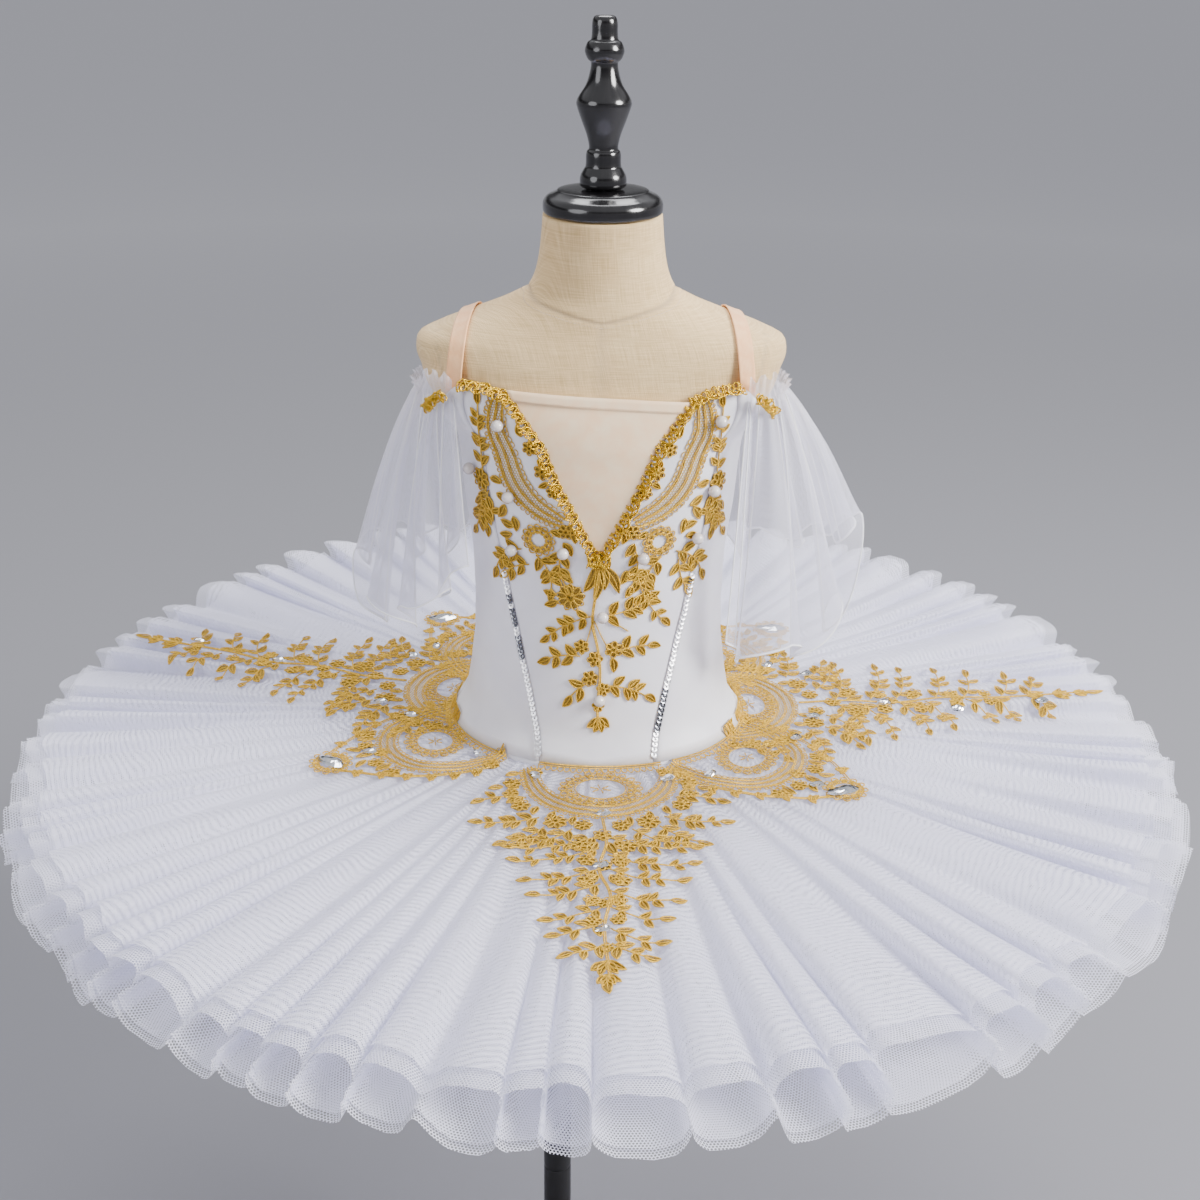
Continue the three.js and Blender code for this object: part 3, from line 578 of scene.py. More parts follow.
# A darker copy of the sequin finish: painted dark reflections for sequins that lie in shade.
SEQUIN_PAINTED_DARK = silver("sequin_painted_dark", (0.10, 0.10, 0.12, 1), 0.2, (0.30, 0.31, 0.34, 1))
STONE = silver("stone", (0.62, 0.68, 0.74, 1), 0.07)
PEARL = pearl()
BLACK_WOOD, BLACK_STEEL = black("black_wood", 0.2, 0.5), black("black_steel", 0.4, 0.1)
THREAD = knit("thread", (0.62, 0.46, 0.33, 1), (0.78, 0.62, 0.48, 1), 0.5)
WHITE_THREAD = knit("white_thread", (0.74, 0.74, 0.80, 1), (0.88, 0.88, 0.93, 1), 0.5)
LACE = [GOLD_CORD, GOLD_FILL, LACE_GROUND]


# ---- stand and form -----------------------------------------------------------------------------

def rounded(points, times=3):
    """Cuts an outline's corners until they are round."""
    p = np.asarray(points, float)
    for _ in range(times):
        near, far = 0.78 * p[:-1] + 0.22 * p[1:], 0.22 * p[:-1] + 0.78 * p[1:]
        p = np.concatenate([p[:1], np.stack([near, far], 1).reshape(-1, 2), p[-1:]])
    return p


def turned(name, profile, material, slot, centre_x=0.0, sides=72):
    outline = rounded(np.concatenate([[(profile[0][0], 0.01)], profile, [(profile[-1][0], 0.01)]]))
    turn = np.arange(sides) / sides * TURN
    z, r = outline[:, :1], outline[:, 1:]
    points = np.stack(np.broadcast_arrays(centre_x + r * np.cos(turn), r * np.sin(turn), z), -1)
    around = np.broadcast_to(np.abs(turn - math.pi) * 0.02, points.shape[:2])
    uv = np.stack([around, np.broadcast_to(lengths(outline)[:, None] / 1000, points.shape[:2])], -1)
    faces = grid_faces(len(outline), sides, closed=True)
    obj = make(name, points.reshape(-1, 3), faces, [material], uv.reshape(-1, 2))
    return dress(obj, slot, name.removesuffix("_look"))


def stand():
    floor_z = -1000 * BODY[2]
    pole_x = -1000 * BODY[0]
    base = [(0, 148), (2, 150), (10, 150), (12.6, 147), (14, 140), (16, 34), (19, 26), (22, 24), (34, 20)]
    turned("stand_base_look", [(z + floor_z, r) for z, r in base], BLACK_STEEL, "black_steel", pole_x, 96)
    pole_bottom, pole_top = floor_z + 34.3, FORM_BOTTOM - POLE_TOP_GAP
    pole = [(pole_bottom, 12.4), (pole_bottom + 0.6, 13), (pole_bottom + 180, 13), (pole_bottom + 181, 12.6),
            (pole_bottom + 182, 13), (pole_top - 0.6, 13), (pole_top, 12.4)]
    turned("stand_pole_look", pole, BLACK_STEEL, "black_steel", pole_x, 48)
    turned("form_neck_cap_look", NECK_CAP, BLACK_WOOD, "black_wood")
    turned("form_finial_look", FINIAL, BLACK_WOOD, "black_wood")


def torso():
    """The linen form, with seams round the neck, down the front and back, and at the arm ends."""
    rows = np.concatenate([np.linspace(FORM_BOTTOM, 280, 34), np.linspace(284, 338, 22), np.linspace(340, 372, 30),
                           np.linspace(375, 418, 16)])
    phi = np.arange(160) / 160 * 360
    z, turn = np.meshgrid(rows, phi, indexing="ij")
    slim = 1 - FORM_UNDERCUT * np.clip((UNDERCUT_TOP - z) / UNDERCUT_FADE, 0, 1)
    points = form_point(turn, z)
    front = np.minimum(turn, 360 - turn)
    neck_seam = np.interp(front, *NECK_SEAM)
    arm = np.where(z > 262, bell(np.abs(points[..., 0]) - 121, 1.3), 0)
    middle = np.where(z < neck_seam, bell(points[..., 0], 0.9), 0)
    # seam sinks the linen along the seams, and as an attribute paints shade into them.
    seam = np.clip(bell(z - neck_seam, 1.1) + 0.6 * arm + 0.35 * middle, 0, 1)
    puff = 0.5 * np.exp(-np.abs(z - neck_seam) / 6) - 1.3 * seam
    out = unit(points * (1, 1, 0.2) * (1, 1, 0))
    points = points * np.stack([slim, slim, np.ones_like(slim)], -1) + out * puff[..., None]
    uv = np.stack([points[..., 0] + 0.7 * points[..., 1], z], -1) / 1000
    count = points.shape[0] * points.shape[1]
    faces = grid_faces(len(rows), 160, closed=True).tolist()
    faces += [list(range(159, -1, -1)), list(range(count - 160, count))]
    obj = make("form_torso_look", points.reshape(-1, 3), faces, [LINEN], uv.reshape(-1, 2), seam=seam * 0.6)
    dress(obj, "linen", "form_torso")

    stitches = Bundle()
    for k in range(150):
        at = 360 * k / 150
        fold = min(at, 360 - at)
        level = np.interp(fold, *NECK_SEAM) - 3
        across = np.array([at - 0.75, at, at + 0.75])
        path = skin(across, level, 0.15)
        stitches.add(*tube(path, unit(path * (1, 1, 0)), 0.22, 4))
    dress(stitches.build("form_stitches", [THREAD]), "linen")


# ---- bodice -------------------------------------------------------------------------------------

def seam_angle(z):
    return smooth(PRINCESS, z)


def creases(phi, z):
    """Soft folds of the satin, in millimetres outward."""
    drag = 0.5 * bell(z - 92, 26) * np.sin(z / 6.2 + phi / 26) * bell(np.abs(phi) - 75, 34)
    waist = 0.45 * bell(z - 128, 16) * np.sin(z / 4.6 - phi / 34) * bell(phi - 70, 40)
    bust = 0.7 * bell(z - 262, 20) * np.sin(phi / 5.2 + z / 26) * bell(np.abs(phi) - 62, 12)
    hip = 0.9 * bell(z - 30, 16) * np.sin(phi / 9.5) * bell(np.abs(phi) - 118, 60)
    pull = -0.6 * bell(z - 60 - 0.5 * (phi + 40), 10) * bell(phi + 40, 22)
    return drag + waist + bust + hip + pull


def satin_panel(name, low_edge, high_edge, columns, rows=52):
    """A panel between two seams, each an angle at a height, cut to the neckline."""
    share = np.linspace(0, 1, columns)
    top = np.full(columns, 280.0)
    for _ in range(14):
        angle = low_edge(top) + (high_edge(top) - low_edge(top)) * share
        top = linear(NECKLINE, np.abs(angle))
    rise = np.linspace(0, 1, rows)[:, None] ** 0.9
    z = HIP_SEAM + (top - HIP_SEAM) * rise
    phi = low_edge(z) + (high_edge(z) - low_edge(z)) * share
    width = (high_edge(z) - low_edge(z)) * 1.8
    into = np.minimum(share, 1 - share) * width
    groove = np.exp(-np.abs(into) / 1.3)
    offset = satin_skin(z) + creases(phi, z) * (1 - groove) - 0.9 * groove
    outer, inner = skin(phi, z, offset), skin(phi, z, offset - SATIN_SHEET)
    # seam paints shade into the sunk groove along each panel edge.
    obj = shell(name, outer, inner, [SATIN_CLOTH], seam=0.5 * groove)
    wide = float(np.linalg.norm(np.diff(outer, axis=1), axis=2).sum(1).max()) / 1000
    tall = float(np.linalg.norm(np.diff(outer, axis=0), axis=2).sum(0).max()) / 1000
    dress(obj, "satin", name.removesuffix("_look"))
    grid_area(outer)


def bodice():
    satin_panel("bodice_front_look", lambda z: -seam_angle(z) + 0.1, lambda z: seam_angle(z) - 0.1, 61)
    for side, sign in (("left", -1), ("right", 1)):
        def angles(near, far):
            return (near, far) if sign > 0 else (lambda z: -far(z), lambda z: -near(z))
        princess = lambda z: seam_angle(z) + 0.1
        satin_panel(f"bodice_side_front_{side}_look", *angles(princess, lambda z: SIDE_SEAM - 0.1 + 0 * z), 33)
        back = (lambda z: SIDE_SEAM + 0.1 + 0 * z, lambda z: 179.9 + 0 * z)
        satin_panel(f"bodice_back_{side}_look", *angles(*back), 45)


def nude_insert():
    """The knit insert in the vee, with a folded hem along its top."""
    t = np.linspace(0, 1, 46)[:, None]
    z = 185 + (297 - 185) * t
    edge = np.interp(z, NECKLINE[:VEE_ROWS, 1], NECKLINE[:VEE_ROWS, 0]) - 0.3
    across = np.linspace(-1, 1, 41)
    phi = across * edge
    z = z + (4.5 - 3.5 * across) * t ** 3
    hem = np.clip((z - z[-1:] + 8.5) / 0.9, 0, 1)
    offset = CLEARANCE + KNIT + 0.5 * hem + 0.25 * np.sin(z / 7 + across * 2) * (1 - t)
    # seam paints shade along the foot of the folded hem.
    seam = 0.5 * bell(z - z[-1:] + 9, 0.8)
    outer, inner = skin(phi, z, offset), skin(phi, z, offset - 1.0)
    obj = shell("nude_insert_look", outer, inner, [NUDE], seam=seam)
    dress(obj, "nude_knit", "nude_insert")
    grid_area(outer)

    zigzag = Bundle()
    at = np.linspace(-0.97, 0.97, 130)
    high = np.interp(at, across, z[-1]) - 7.2 + 0.9 * np.where(np.arange(130) % 2, 1, -1)
    path = skin(at * edge[-3], high, CLEARANCE + KNIT + 0.75)
    zigzag.add(*tube(path, np.tile((0.0, -1.0, 0.0), (130, 1)), 0.2, 4))
    dress(zigzag.build("insert_stitches", [THREAD]), "nude_knit")


def strap_path(x, angle, offset):
    """Where a ray in the plane x = const, tilted over from the front, leaves the form."""
    turn = np.radians(angle)
    ray = np.stack([0 * turn, -np.cos(turn), np.sin(turn)], -1)
    heart = np.stack([x, 0 * x, STRAP_HEART + 0 * x], -1)
    near, far = np.zeros(len(x)), np.full(len(x), 120.0)
    for _ in range(30):
        middle = (near + far) / 2
        p = heart + ray * middle[:, None]
        power = smooth(FORM, p[:, 2], 3)
        wide, deep = smooth(FORM, p[:, 2], 1), smooth(FORM, p[:, 2], 2)
        out = np.abs(p[:, 0] / wide) ** power + np.abs(p[:, 1] / deep) ** power
        near, far = np.where(out < 1, middle, near), np.where(out < 1, far, middle)
    return heart + ray * (near + offset)[:, None]


def strap(side, sign):
    rows, columns = 90, 13
    t = np.linspace(0, 1, rows)
    across = np.linspace(-0.5, 0.5, columns)
    angle = STRAP_START + STRAP_SWEEP * t
    outer, inner = [], []
    for a in across:
        x = sign * (STRAP_FRONT - (STRAP_FRONT - STRAP_BACK) * t) + a * STRAP_WIDTH
        ridge = 0.25 * bell(np.abs(a) - 0.42, 0.06)
        outer.append(strap_path(x, angle, 2.4 + ridge))
        inner.append(strap_path(x, angle, np.full(rows, 1.5)))
    outer, inner = np.stack(outer, 1), np.stack(inner, 1)
    obj = shell(f"strap_{side}_look", outer, inner, [ELASTIC])
    dress(obj, "elastic", f"strap_{side}")


# ---- net skirt ----------------------------------------------------------------------------------

def flute_phase():
    """Flutes counted round the plate, by azimuth from -180 to 180."""
    at = np.linspace(-180, 180, 721)
    rate = 1 / smooth(FLUTE_LOOK, at)
    total = np.concatenate([[0], np.cumsum((rate[1:] + rate[:-1]) / 2)])
    uneven = 0.26 * np.sin(np.radians(at) * 17 + 1) + 0.12 * np.sin(np.radians(at) * 29 + 2.2)
    return at, total / total[-1] * FLUTES + uneven - uneven[0]


PHASE_AT, PHASE = flute_phase()
FLUTE_SIZE = 0.68 + 0.6 * rng.random(FLUTES + 1)
FLUTE_SIZE[-1] = FLUTE_SIZE[0]
BRIEF_SKIN = CLEARANCE + KNIT + 0.6


def wrap(azimuth):
    return (np.asarray(azimuth, float) + 180) % 360 - 180


def net_base(layer, phi, share):
    """A layer's cloth without its flutes."""
    hip = skin(phi, layer["hip"] + 0 * phi, BRIEF_SKIN + hip_flare(np.full(np.shape(phi), float(layer["hip"]))))
    turn = np.radians(phi)
    rim = np.stack([layer["rim"] * np.sin(turn), -layer["rim"] * np.cos(turn), layer["hem"] + 0 * turn], -1)
    return hip + (rim - hip) * share[..., None]


def flute(layer, phi, share):
    """Rise, sideways shift and outward shift of a layer's cloth at a place."""
    at = wrap(phi)
    phase = np.interp(at, PHASE_AT, PHASE)
    arch, lean, roll = (smooth(FLUTE_LOOK, at, k) for k in (2, 3, 4))
    size = np.interp(phase, np.arange(FLUTES + 1), FLUTE_SIZE)
    wide = 360 / FLUTES * smooth(FLUTE_LOOK, at) / 39 * np.radians(1) * layer["rim"]
    growth = smooth(ARCH_GROWTH, share)
    turn = phase * TURN
    up = np.cos(turn)
    late = np.clip((share - 0.35) / 0.65, 0, 1) ** 1.5
    full = up + 0.38 * late * (1 - up ** 2) + 0.08 * np.cos(2 * turn + phase) * (1 - late)
    rise = layer["side"] * arch * size * growth * full
    side = lean * arch * size * up * growth * 0.8 + roll * 0.15 * wide * np.sin(turn) * late
    ripple = 0.35 * np.sin(5 * turn + 3 * share) * growth
    return rise + ripple, side, 2.6 * late * np.sin(phase * 2.3) + 1.6 * late * np.sin(phase * 7.9)


def net_layer(name, material):
    layer = LAYERS[name]
    count = FLUTES * layer["columns"]
    phi = np.interp(np.arange(count) / count * FLUTES, PHASE, PHASE_AT)
    share = np.linspace(0, 1, layer["rows"]) ** 0.85
    share, turn = np.meshgrid(share, phi, indexing="ij")
    points = net_base(layer, turn, share)
    rise, side, out = flute(layer, turn, share)
    around = np.radians(turn)
    points += rise[..., None] * (0, 0, 1) + np.stack([side * np.cos(around) + out * np.sin(around),
                                                      side * np.sin(around) - out * np.cos(around), 0 * side], -1)
    closed = np.concatenate([points, points[:, :1]], 1)
    run = lengths(closed[-1]) / 1000
    depth = np.cumsum(np.linalg.norm(np.diff(closed, axis=0, prepend=closed[:1]), axis=2), axis=0) / 1000
    uv = np.stack([np.broadcast_to(run, closed.shape[:2]), depth], -1)
    faces = grid_faces(layer["rows"], count + 1)
    obj = make(f"{name}_look", closed.reshape(-1, 3), faces, [material], uv.reshape(-1, 2))
    dress(obj, "net", name)
    at_hip = float(lengths(closed[0])[-1]) / 1000
    return points


class PlateHeights:
    """How high the top net stands, bridged over its valleys as sewn lace bridges them."""

    def __init__(self, points):
        rows, columns = points.shape[:2]
        flat = points.reshape(-1, 3)
        tree = BVHTree.FromPolygons(flat.tolist(), grid_faces(rows, columns, closed=True).tolist())
        self.turns = np.arange(1440) / 4.0
        self.radii = np.arange(90, 446, 3.0)
        level = np.full((len(self.radii), 1440), 9.0)
        down = Vector((0, 0, -1))
        for i, radius in enumerate(self.radii):
            for j, turn in enumerate(np.radians(self.turns)):
                hit = tree.ray_cast(Vector((radius * math.sin(turn), -radius * math.cos(turn), 60)), down)
                if hit[0] is not None:
                    level[i, j] = hit[0].z
        for i, radius in enumerate(self.radii):
            reach = max(1, int(round(5.0 / (radius * math.radians(0.25)))))
            around = np.stack([np.roll(level[i], k) for k in range(-reach, reach + 1)])
            top = around.max(0)
            soft = np.stack([np.roll(top, k) for k in range(-reach, reach + 1)]).mean(0)
            level[i] = np.maximum(soft, level[i])
        for k in range(1, len(level) - 1):
            level[k] = np.maximum(level[k], (level[k - 1] + level[k + 1]) / 2)
        self.level = level

    def at(self, azimuth, radius):
        i = np.clip((radius - self.radii[0]) / 3.0, 0, len(self.radii) - 1.001)
        j = (np.asarray(azimuth) % 360) * 4
        i0, j0 = i.astype(int), j.astype(int)
        fi, fj = i - i0, j - j0
        a, b = self.level[i0, j0 % 1440], self.level[i0, (j0 + 1) % 1440]
        c, d = self.level[i0 + 1, j0 % 1440], self.level[i0 + 1, (j0 + 1) % 1440]
        return (a * (1 - fj) + b * fj) * (1 - fi) + (c * (1 - fj) + d * fj) * fi


def brief():
    """Brief under the plate: two leg lines, a crotch strip and piped edges."""
    curve = np.array([(15, -114), (40, -62), (150, -38)], float)
    t = np.linspace(0, 1, 40)[:, None]
    line = (1 - t) ** 2 * curve[0] + 2 * t * (1 - t) * curve[1] + t ** 2 * curve[2]
    phi = np.linspace(-180, 180, 241)
    low = np.full(len(phi), -115.0)
    for _ in range(12):
        x = np.abs(skin(phi, low, 2.0)[:, 0])
        low = np.where(x < 15, -115.0, np.interp(x, line[:, 0], line[:, 1]))
    rise = np.linspace(0, 1, 26)[:, None]
    z = low + (HIP_SEAM - 0.3 - low) * rise
    turn = np.broadcast_to(phi, z.shape)
    offset = CLEARANCE + KNIT + hip_flare(z) * 0.98 + 0.35 * np.sin(turn / 7 + z / 20)
    outer, inner = skin(turn, z, offset), skin(turn, z, offset - 1.0)
    obj = shell("brief_look", outer, inner, [SATIN_CLOTH])
    dress(obj, "satin", "brief")
    across = float(np.linalg.norm(np.diff(outer[-1], axis=0), axis=1).sum()) / 1000
    grid_area(outer)
    y = np.linspace(-1, 1, 30)[:, None]
    x = np.linspace(-14.5, 14.5, 9)
    under = np.stack(np.broadcast_arrays(x + 0 * y, y * 79.5, -120.4 + 4.4 * np.abs(y) ** 12 + 0 * x), -1)
    strip = shell("brief_crotch", under, under + (0, 0, 1.0), [SATIN_CLOTH])
    dress(strip, "satin")
    piping = Bundle()
    edge = outer[0]
    for sign in (-1, 1):
        leg = edge[(sign * edge[:, 0] > 14)]
        leg = leg[np.argsort(np.arctan2(leg[:, 1], sign * leg[:, 0]))]
        piping.add(*tube(leg, unit(leg * (1, 1, 0)), 1.0, 6))
    dress(piping.build("brief_piping", [WHITE_THREAD]), "satin")


# ---- sleeves ------------------------------------------------------------------------------------

SLEEVE_HEM = {  # share round the arm from the front edge, height of the hem
    "left": np.array([(0, 168), (0.18, 120), (0.36, 116), (0.5, 148), (0.7, 150), (0.85, 135), (1, 150)]),
    "right": np.array([(0, 96), (0.22, 92), (0.36, 108), (0.5, 176), (0.7, 160), (0.85, 135), (1, 150)]),
}
SLEEVE_TOP = np.array([(0, 315, 298), (0.15, 316, 297), (0.3, 300, 293), (1, 297, 290)])
SLEEVE_REACH = {"left": 90, "right": 98}


def sleeve(side, sign):
    """Gathered tulle that hangs off the shoulder, its folds lapping over each other."""
    columns, rows = 300, 54
    along = np.linspace(0, 1, columns)
    folds = along * 7 + 0.18 * np.sin(along * 9 + sign)
    size = 1 + 0.3 * np.sin(along * 13 + 2 * sign)

    def outward(a):
        return np.stack([sign * np.sin(math.pi * a), -np.cos(math.pi * a), 0 * a], -1)

    at_top = sign * (SLEEVE_START + SLEEVE_SPAN * along)
    gather = skin(at_top, linear(SLEEVE_TOP, along, 2), SLEEVE_CLEARANCE + 0 * along)

    def hem(a):
        a = np.clip(a, 0, 1)
        x = sign * (98 + SLEEVE_REACH[side] * np.sin(math.pi * a))
        return np.stack([x, -62 * np.cos(math.pi * a), smooth(SLEEVE_HEM[side], a)], -1)

    grid = []
    for drop in np.linspace(0, 1, rows):
        if drop < 0.1:  # the heading stands up above the gathers
            rise = 1 - drop / 0.1
            top = linear(SLEEVE_TOP, along, 1)
            p = gather + outward(along) * (3.5 * rise + 1.8 * rise * np.sin(TURN * folds * 3.1))[:, None]
            p[:, 2] += (top - gather[:, 2]) * rise * (0.85 + 0.15 * np.sin(folds * 11))
        else:
            d = (drop - 0.1) / 0.9
            shift = SLEEVE_LAP * np.sin(TURN * folds) * d ** 0.5
            moved = along + shift * np.minimum(1, 12 * np.minimum(along, 1 - along))
            end = hem(moved)
            belly = 4 * math.sin(math.pi * d) ** 1.2
            fold = (2 + 7 * d) * size * np.cos(TURN * folds) + 1.6 * (1 - d) * np.cos(TURN * folds * 3)
            p = gather + (end - gather) * d + outward(np.clip(moved, 0, 1)) * (belly + fold)[:, None]
            zigzag = np.arcsin(np.sin(TURN * folds + 0.9)) / 1.57
            p[:, 2] += 11 * d ** 2 * size * zigzag + 12 * math.sin(math.pi * d) * (1 - d)
        grid.append(p)
    points = np.stack(grid)[::-1]
    uv = grid_uv(points)
    uv[..., 0] = np.broadcast_to(lengths(points[0]) / 1000, uv.shape[:2])
    back = np.sign(np.diff(along + SLEEVE_LAP * np.sin(TURN * folds)))
    cords = [tube(points[0], np.tile((0.0, 0.0, 1.0), (columns, 1)), 0.7)]
    for k in [0, *np.flatnonzero(back[1:] != back[:-1]), columns - 1]:
        cords.append(tube(points[: int(0.9 * rows), k], np.tile(outward(along[k]), (int(0.9 * rows), 1)), 0.6))
    bundle = Bundle()
    bundle.add(points.reshape(-1, 3), grid_faces(rows, columns), uv.reshape(-1, 2))
    for cord in cords:
        bundle.add(*cord, 1)
    obj = bundle.build(f"sleeve_{side}_look", [TULLE, TULLE_EDGE])
    dress(obj, "tulle", f"sleeve_{side}")
    wide = float(lengths(points[0])[-1]) / 1000
    fall = uv[-1, :, 1]
    area = flared_area(wide, float(lengths(gather)[-1]) / 1000, float(fall.mean()))


# ---- lace ---------------------------------------------------------------------------------------

def axes_at(angle):
    """The flat axes that point along an angle and to its left."""
    ahead = np.array([math.cos(angle), math.sin(angle)])
    return ahead, np.array([-ahead[1], ahead[0]])


class Lace:
    """Cords and filled shapes drawn flat in millimetres, then laid on a surface."""

    def __init__(self):
        self.cords, self.fills = [], []

    def cord(self, points, radius=0.55, height=0.7):
        self.cords.append((np.asarray(points, float), radius, height))

    def fill(self, rows, heights, ground=False):
        """A grid of flat points with a height for each."""
        self.fills.append((np.asarray(rows, float), np.asarray(heights, float), 2 if ground else 1))

    def leaf(self, base, angle, length, width=None, vein=True):
        """A pointed leaf. The angle is anticlockwise from straight across."""
        width = width or 0.5 * length
        ahead, aside = axes_at(angle)
        t = np.linspace(0, 1, 8)
        half = width / 2 * np.sin(math.pi * t ** 0.85) ** 0.8
        bend = 0.08 * length * np.sin(math.pi * t)
        middle = np.asarray(base, float) + ahead * (t * length)[:, None] + aside * bend[:, None]
        left, right = middle + aside * half[:, None], middle - aside * half[:, None]
        self.cord(np.concatenate([left, right[-2::-1]]), 0.6, 1.0)
        dome = np.sin(math.pi * t)
        self.fill(np.stack([left, middle, right], 1), np.stack([0.2 + 0 * t, 0.25 + 0.3 * dome, 0.2 + 0 * t], 1))
        if vein:
            self.cord(middle[:-1], 0.42, 0.95)

    def flower(self, centre, radius, petals=7, turn=0.0):
        centre = np.asarray(centre, float)
        t = np.linspace(0, TURN, 9)
        for k in range(petals):
            ahead, aside = axes_at(turn + TURN * k / petals)
            mid, long, wide = 0.64 * radius, 0.38 * radius, 0.9 * radius * math.sin(math.pi / petals)
            loop = centre + ahead * (mid + long * np.cos(t))[:, None] + aside * (wide * 0.7 * np.sin(t))[:, None]
            self.cord(loop, 0.6, 1.0)
        ring = np.linspace(0, TURN, 2 * petals + 1)
        disc = np.stack([centre + f * radius * np.stack([np.cos(ring), np.sin(ring)], -1) for f in (0.02, 0.5, 0.9)])
        self.fill(disc, np.stack([0.4 + 0 * ring, 0.3 + 0 * ring, 0.15 + 0 * ring]))
        heart = np.linspace(0, 2 * TURN, 15)
        self.cord(centre + (0.22 * radius) * np.stack([np.cos(heart), np.sin(heart)], -1), 0.5, 1.2)

    def sprig(self, base, angle, length, pairs=3, leaf=9.0, bend=0.3):
        """A curved stem with leaves in pairs and one at its end."""
        t = np.linspace(0, 1, 3 * pairs + 3)
        turn = angle + bend * (t - 0.5) * 2
        step = length / (len(t) - 1) * np.stack([np.cos(turn), np.sin(turn)], -1)
        stem = np.asarray(base, float) + np.concatenate([[(0, 0)], np.cumsum(step[:-1], 0)])
        self.cord(stem, 0.6, 0.9)
        for k in range(pairs):
            i = 1 + 3 * k + (k % 2)
            size = 1.18 * leaf * (1.05 - 0.08 * k) * (0.9 + 0.2 * rng.random())
            for side in (-1, 1):
                spread = side * (0.75 + 0.25 * rng.random())
                self.leaf(stem[min(i + (side > 0), len(stem) - 1)], turn[i] + spread, size)
        self.leaf(stem[-1], turn[-1], leaf * 1.15)
        return stem

    def wreath(self, centre, wide, tall, loops, heart=True):
        """An oval of small loops round an open ground."""
        centre = np.asarray(centre, float)
        ring = np.linspace(0, TURN, 41)
        oval = np.stack([wide * np.cos(ring), tall * np.sin(ring)], -1)
        for scale, radius in ((0.62, 0.5), (0.86, 0.45)):
            self.cord(centre + scale * oval, radius, 0.8)
        t = np.linspace(0, TURN, 9)
        for k in range(loops):
            a = TURN * k / loops
            at = np.array([wide * math.cos(a), tall * math.sin(a)])
            ahead = at / np.linalg.norm(at)
            aside = np.array([-ahead[1], ahead[0]])
            for share, size in ((0.93, 3.3), (0.76, 2.6)):
                loop = ahead * (size * np.cos(t))[:, None] + aside * (size * 0.8 * np.sin(t))[:, None]
                self.cord(centre + share * at + loop, 0.55, 1.0)
        band = np.stack([centre + f * oval for f in (0.62, 0.8, 1.0)])
        self.fill(band, np.tile([[0.3], [0.5], [0.25]], (1, 41)), ground=True)
        if heart:
            for k in range(6):
                a = TURN * k / 6 + 0.3
                ray = np.linspace(0.06, 0.26, 4)[:, None] * np.array([wide * math.cos(a), tall * math.sin(a)])
                self.cord(centre + ray, 0.5, 0.6)

    def crescent(self, path, width, picot_side=1, count=56):
        """A tapering band of cords with loops along its inner edge and scallops along its outer one."""
        mid = even(catmull(path, 80), count)
        ahead = unit(np.gradient(mid, axis=0))
        aside = np.stack([-ahead[:, 1], ahead[:, 0]], -1) * picot_side
        t = np.linspace(0, 1, count)
        half = width / 2 * (0.45 + 0.55 * np.sin(math.pi * t) ** 0.7)
        for share in (-0.94, -0.76, -0.08, 0.1, 0.76, 0.94):
            self.cord(mid + aside * (half * share)[:, None], 0.48, 1.0 - 0.2 * abs(share))
        shares = (-0.95, -0.5, 0, 0.5, 0.95)
        band = np.stack([mid + aside * (half * f)[:, None] for f in shares], 1)
        self.fill(band, np.tile([0.2, 0.4, 0.5, 0.4, 0.2], (count, 1)), ground=True)
        along = lengths(mid)
        turn = np.linspace(0, TURN, 9)
        for s in np.arange(3, along[-1] - 2, 3.6):
            i = int(np.searchsorted(along, s))
            edge = mid[i] + aside[i] * (half[i] + 1.5)
            self.cord(edge + 1.7 * np.stack([np.cos(turn), np.sin(turn)], -1), 0.42, 0.8)
        for s in np.arange(2, along[-1] - 3, 5.2):
            i = int(np.searchsorted(along, s))
            edge = mid[i] - aside[i] * (half[i] + 0.6)
            arc = np.linspace(-1.5, 1.5, 6)
            loop = edge + ahead[i] * (2.4 * np.sin(arc))[:, None] - aside[i] * (1.9 * np.cos(arc))[:, None]
            self.cord(loop, 0.42, 0.75)

    def build(self, name, place, *nodes):
        """Lays everything by place(flat points, heights) and joins it."""
        flat = np.concatenate([c[0] for c in self.cords])
        height = np.concatenate([np.full(len(c[0]), c[2]) for c in self.cords])
        low, high = place(flat, height), place(flat, height + 1)
        cut = np.cumsum([len(c[0]) for c in self.cords])[:-1]
        bundle = Bundle()
        for (_, radius, _), path, normal in zip(self.cords, np.split(low, cut), np.split(high - low, cut)):
            bundle.add(*tube(path, unit(normal), radius))
        for rows, heights, index in self.fills:
            shape = rows.shape[:2]
            points = place(rows.reshape(-1, 2), heights.ravel())
            bundle.add(points, grid_faces(*shape), rows.reshape(-1, 2) / 1000, index)
        return dress(bundle.build(name, LACE), "gold_lace", *nodes)


ARC_PHI = np.linspace(0, 120, 241)
ARC_RUN = lengths(form_point(ARC_PHI, 200 + 0 * ARC_PHI))
ARC_WIDTH = smooth(FORM, 200)


def flat_place(phi, z):
    """Millimetres across the bodice front, from its middle, at an angle and a height."""
    run = np.interp(abs(phi), ARC_PHI, ARC_RUN) * smooth(FORM, z) / ARC_WIDTH
    return np.array([math.copysign(float(run), phi), z])


def bodice_place(flat, height):
    z = np.maximum(flat[:, 1], 14)
    run = np.abs(flat[:, 0]) * ARC_WIDTH / smooth(FORM, z)
    phi = np.sign(flat[:, 0]) * np.interp(run, ARC_RUN, ARC_PHI)
    return skin(phi, z, satin_skin(z) + creases(phi, z) + height)


def at(sign, phi, z):
    return flat_place(sign * phi, z)


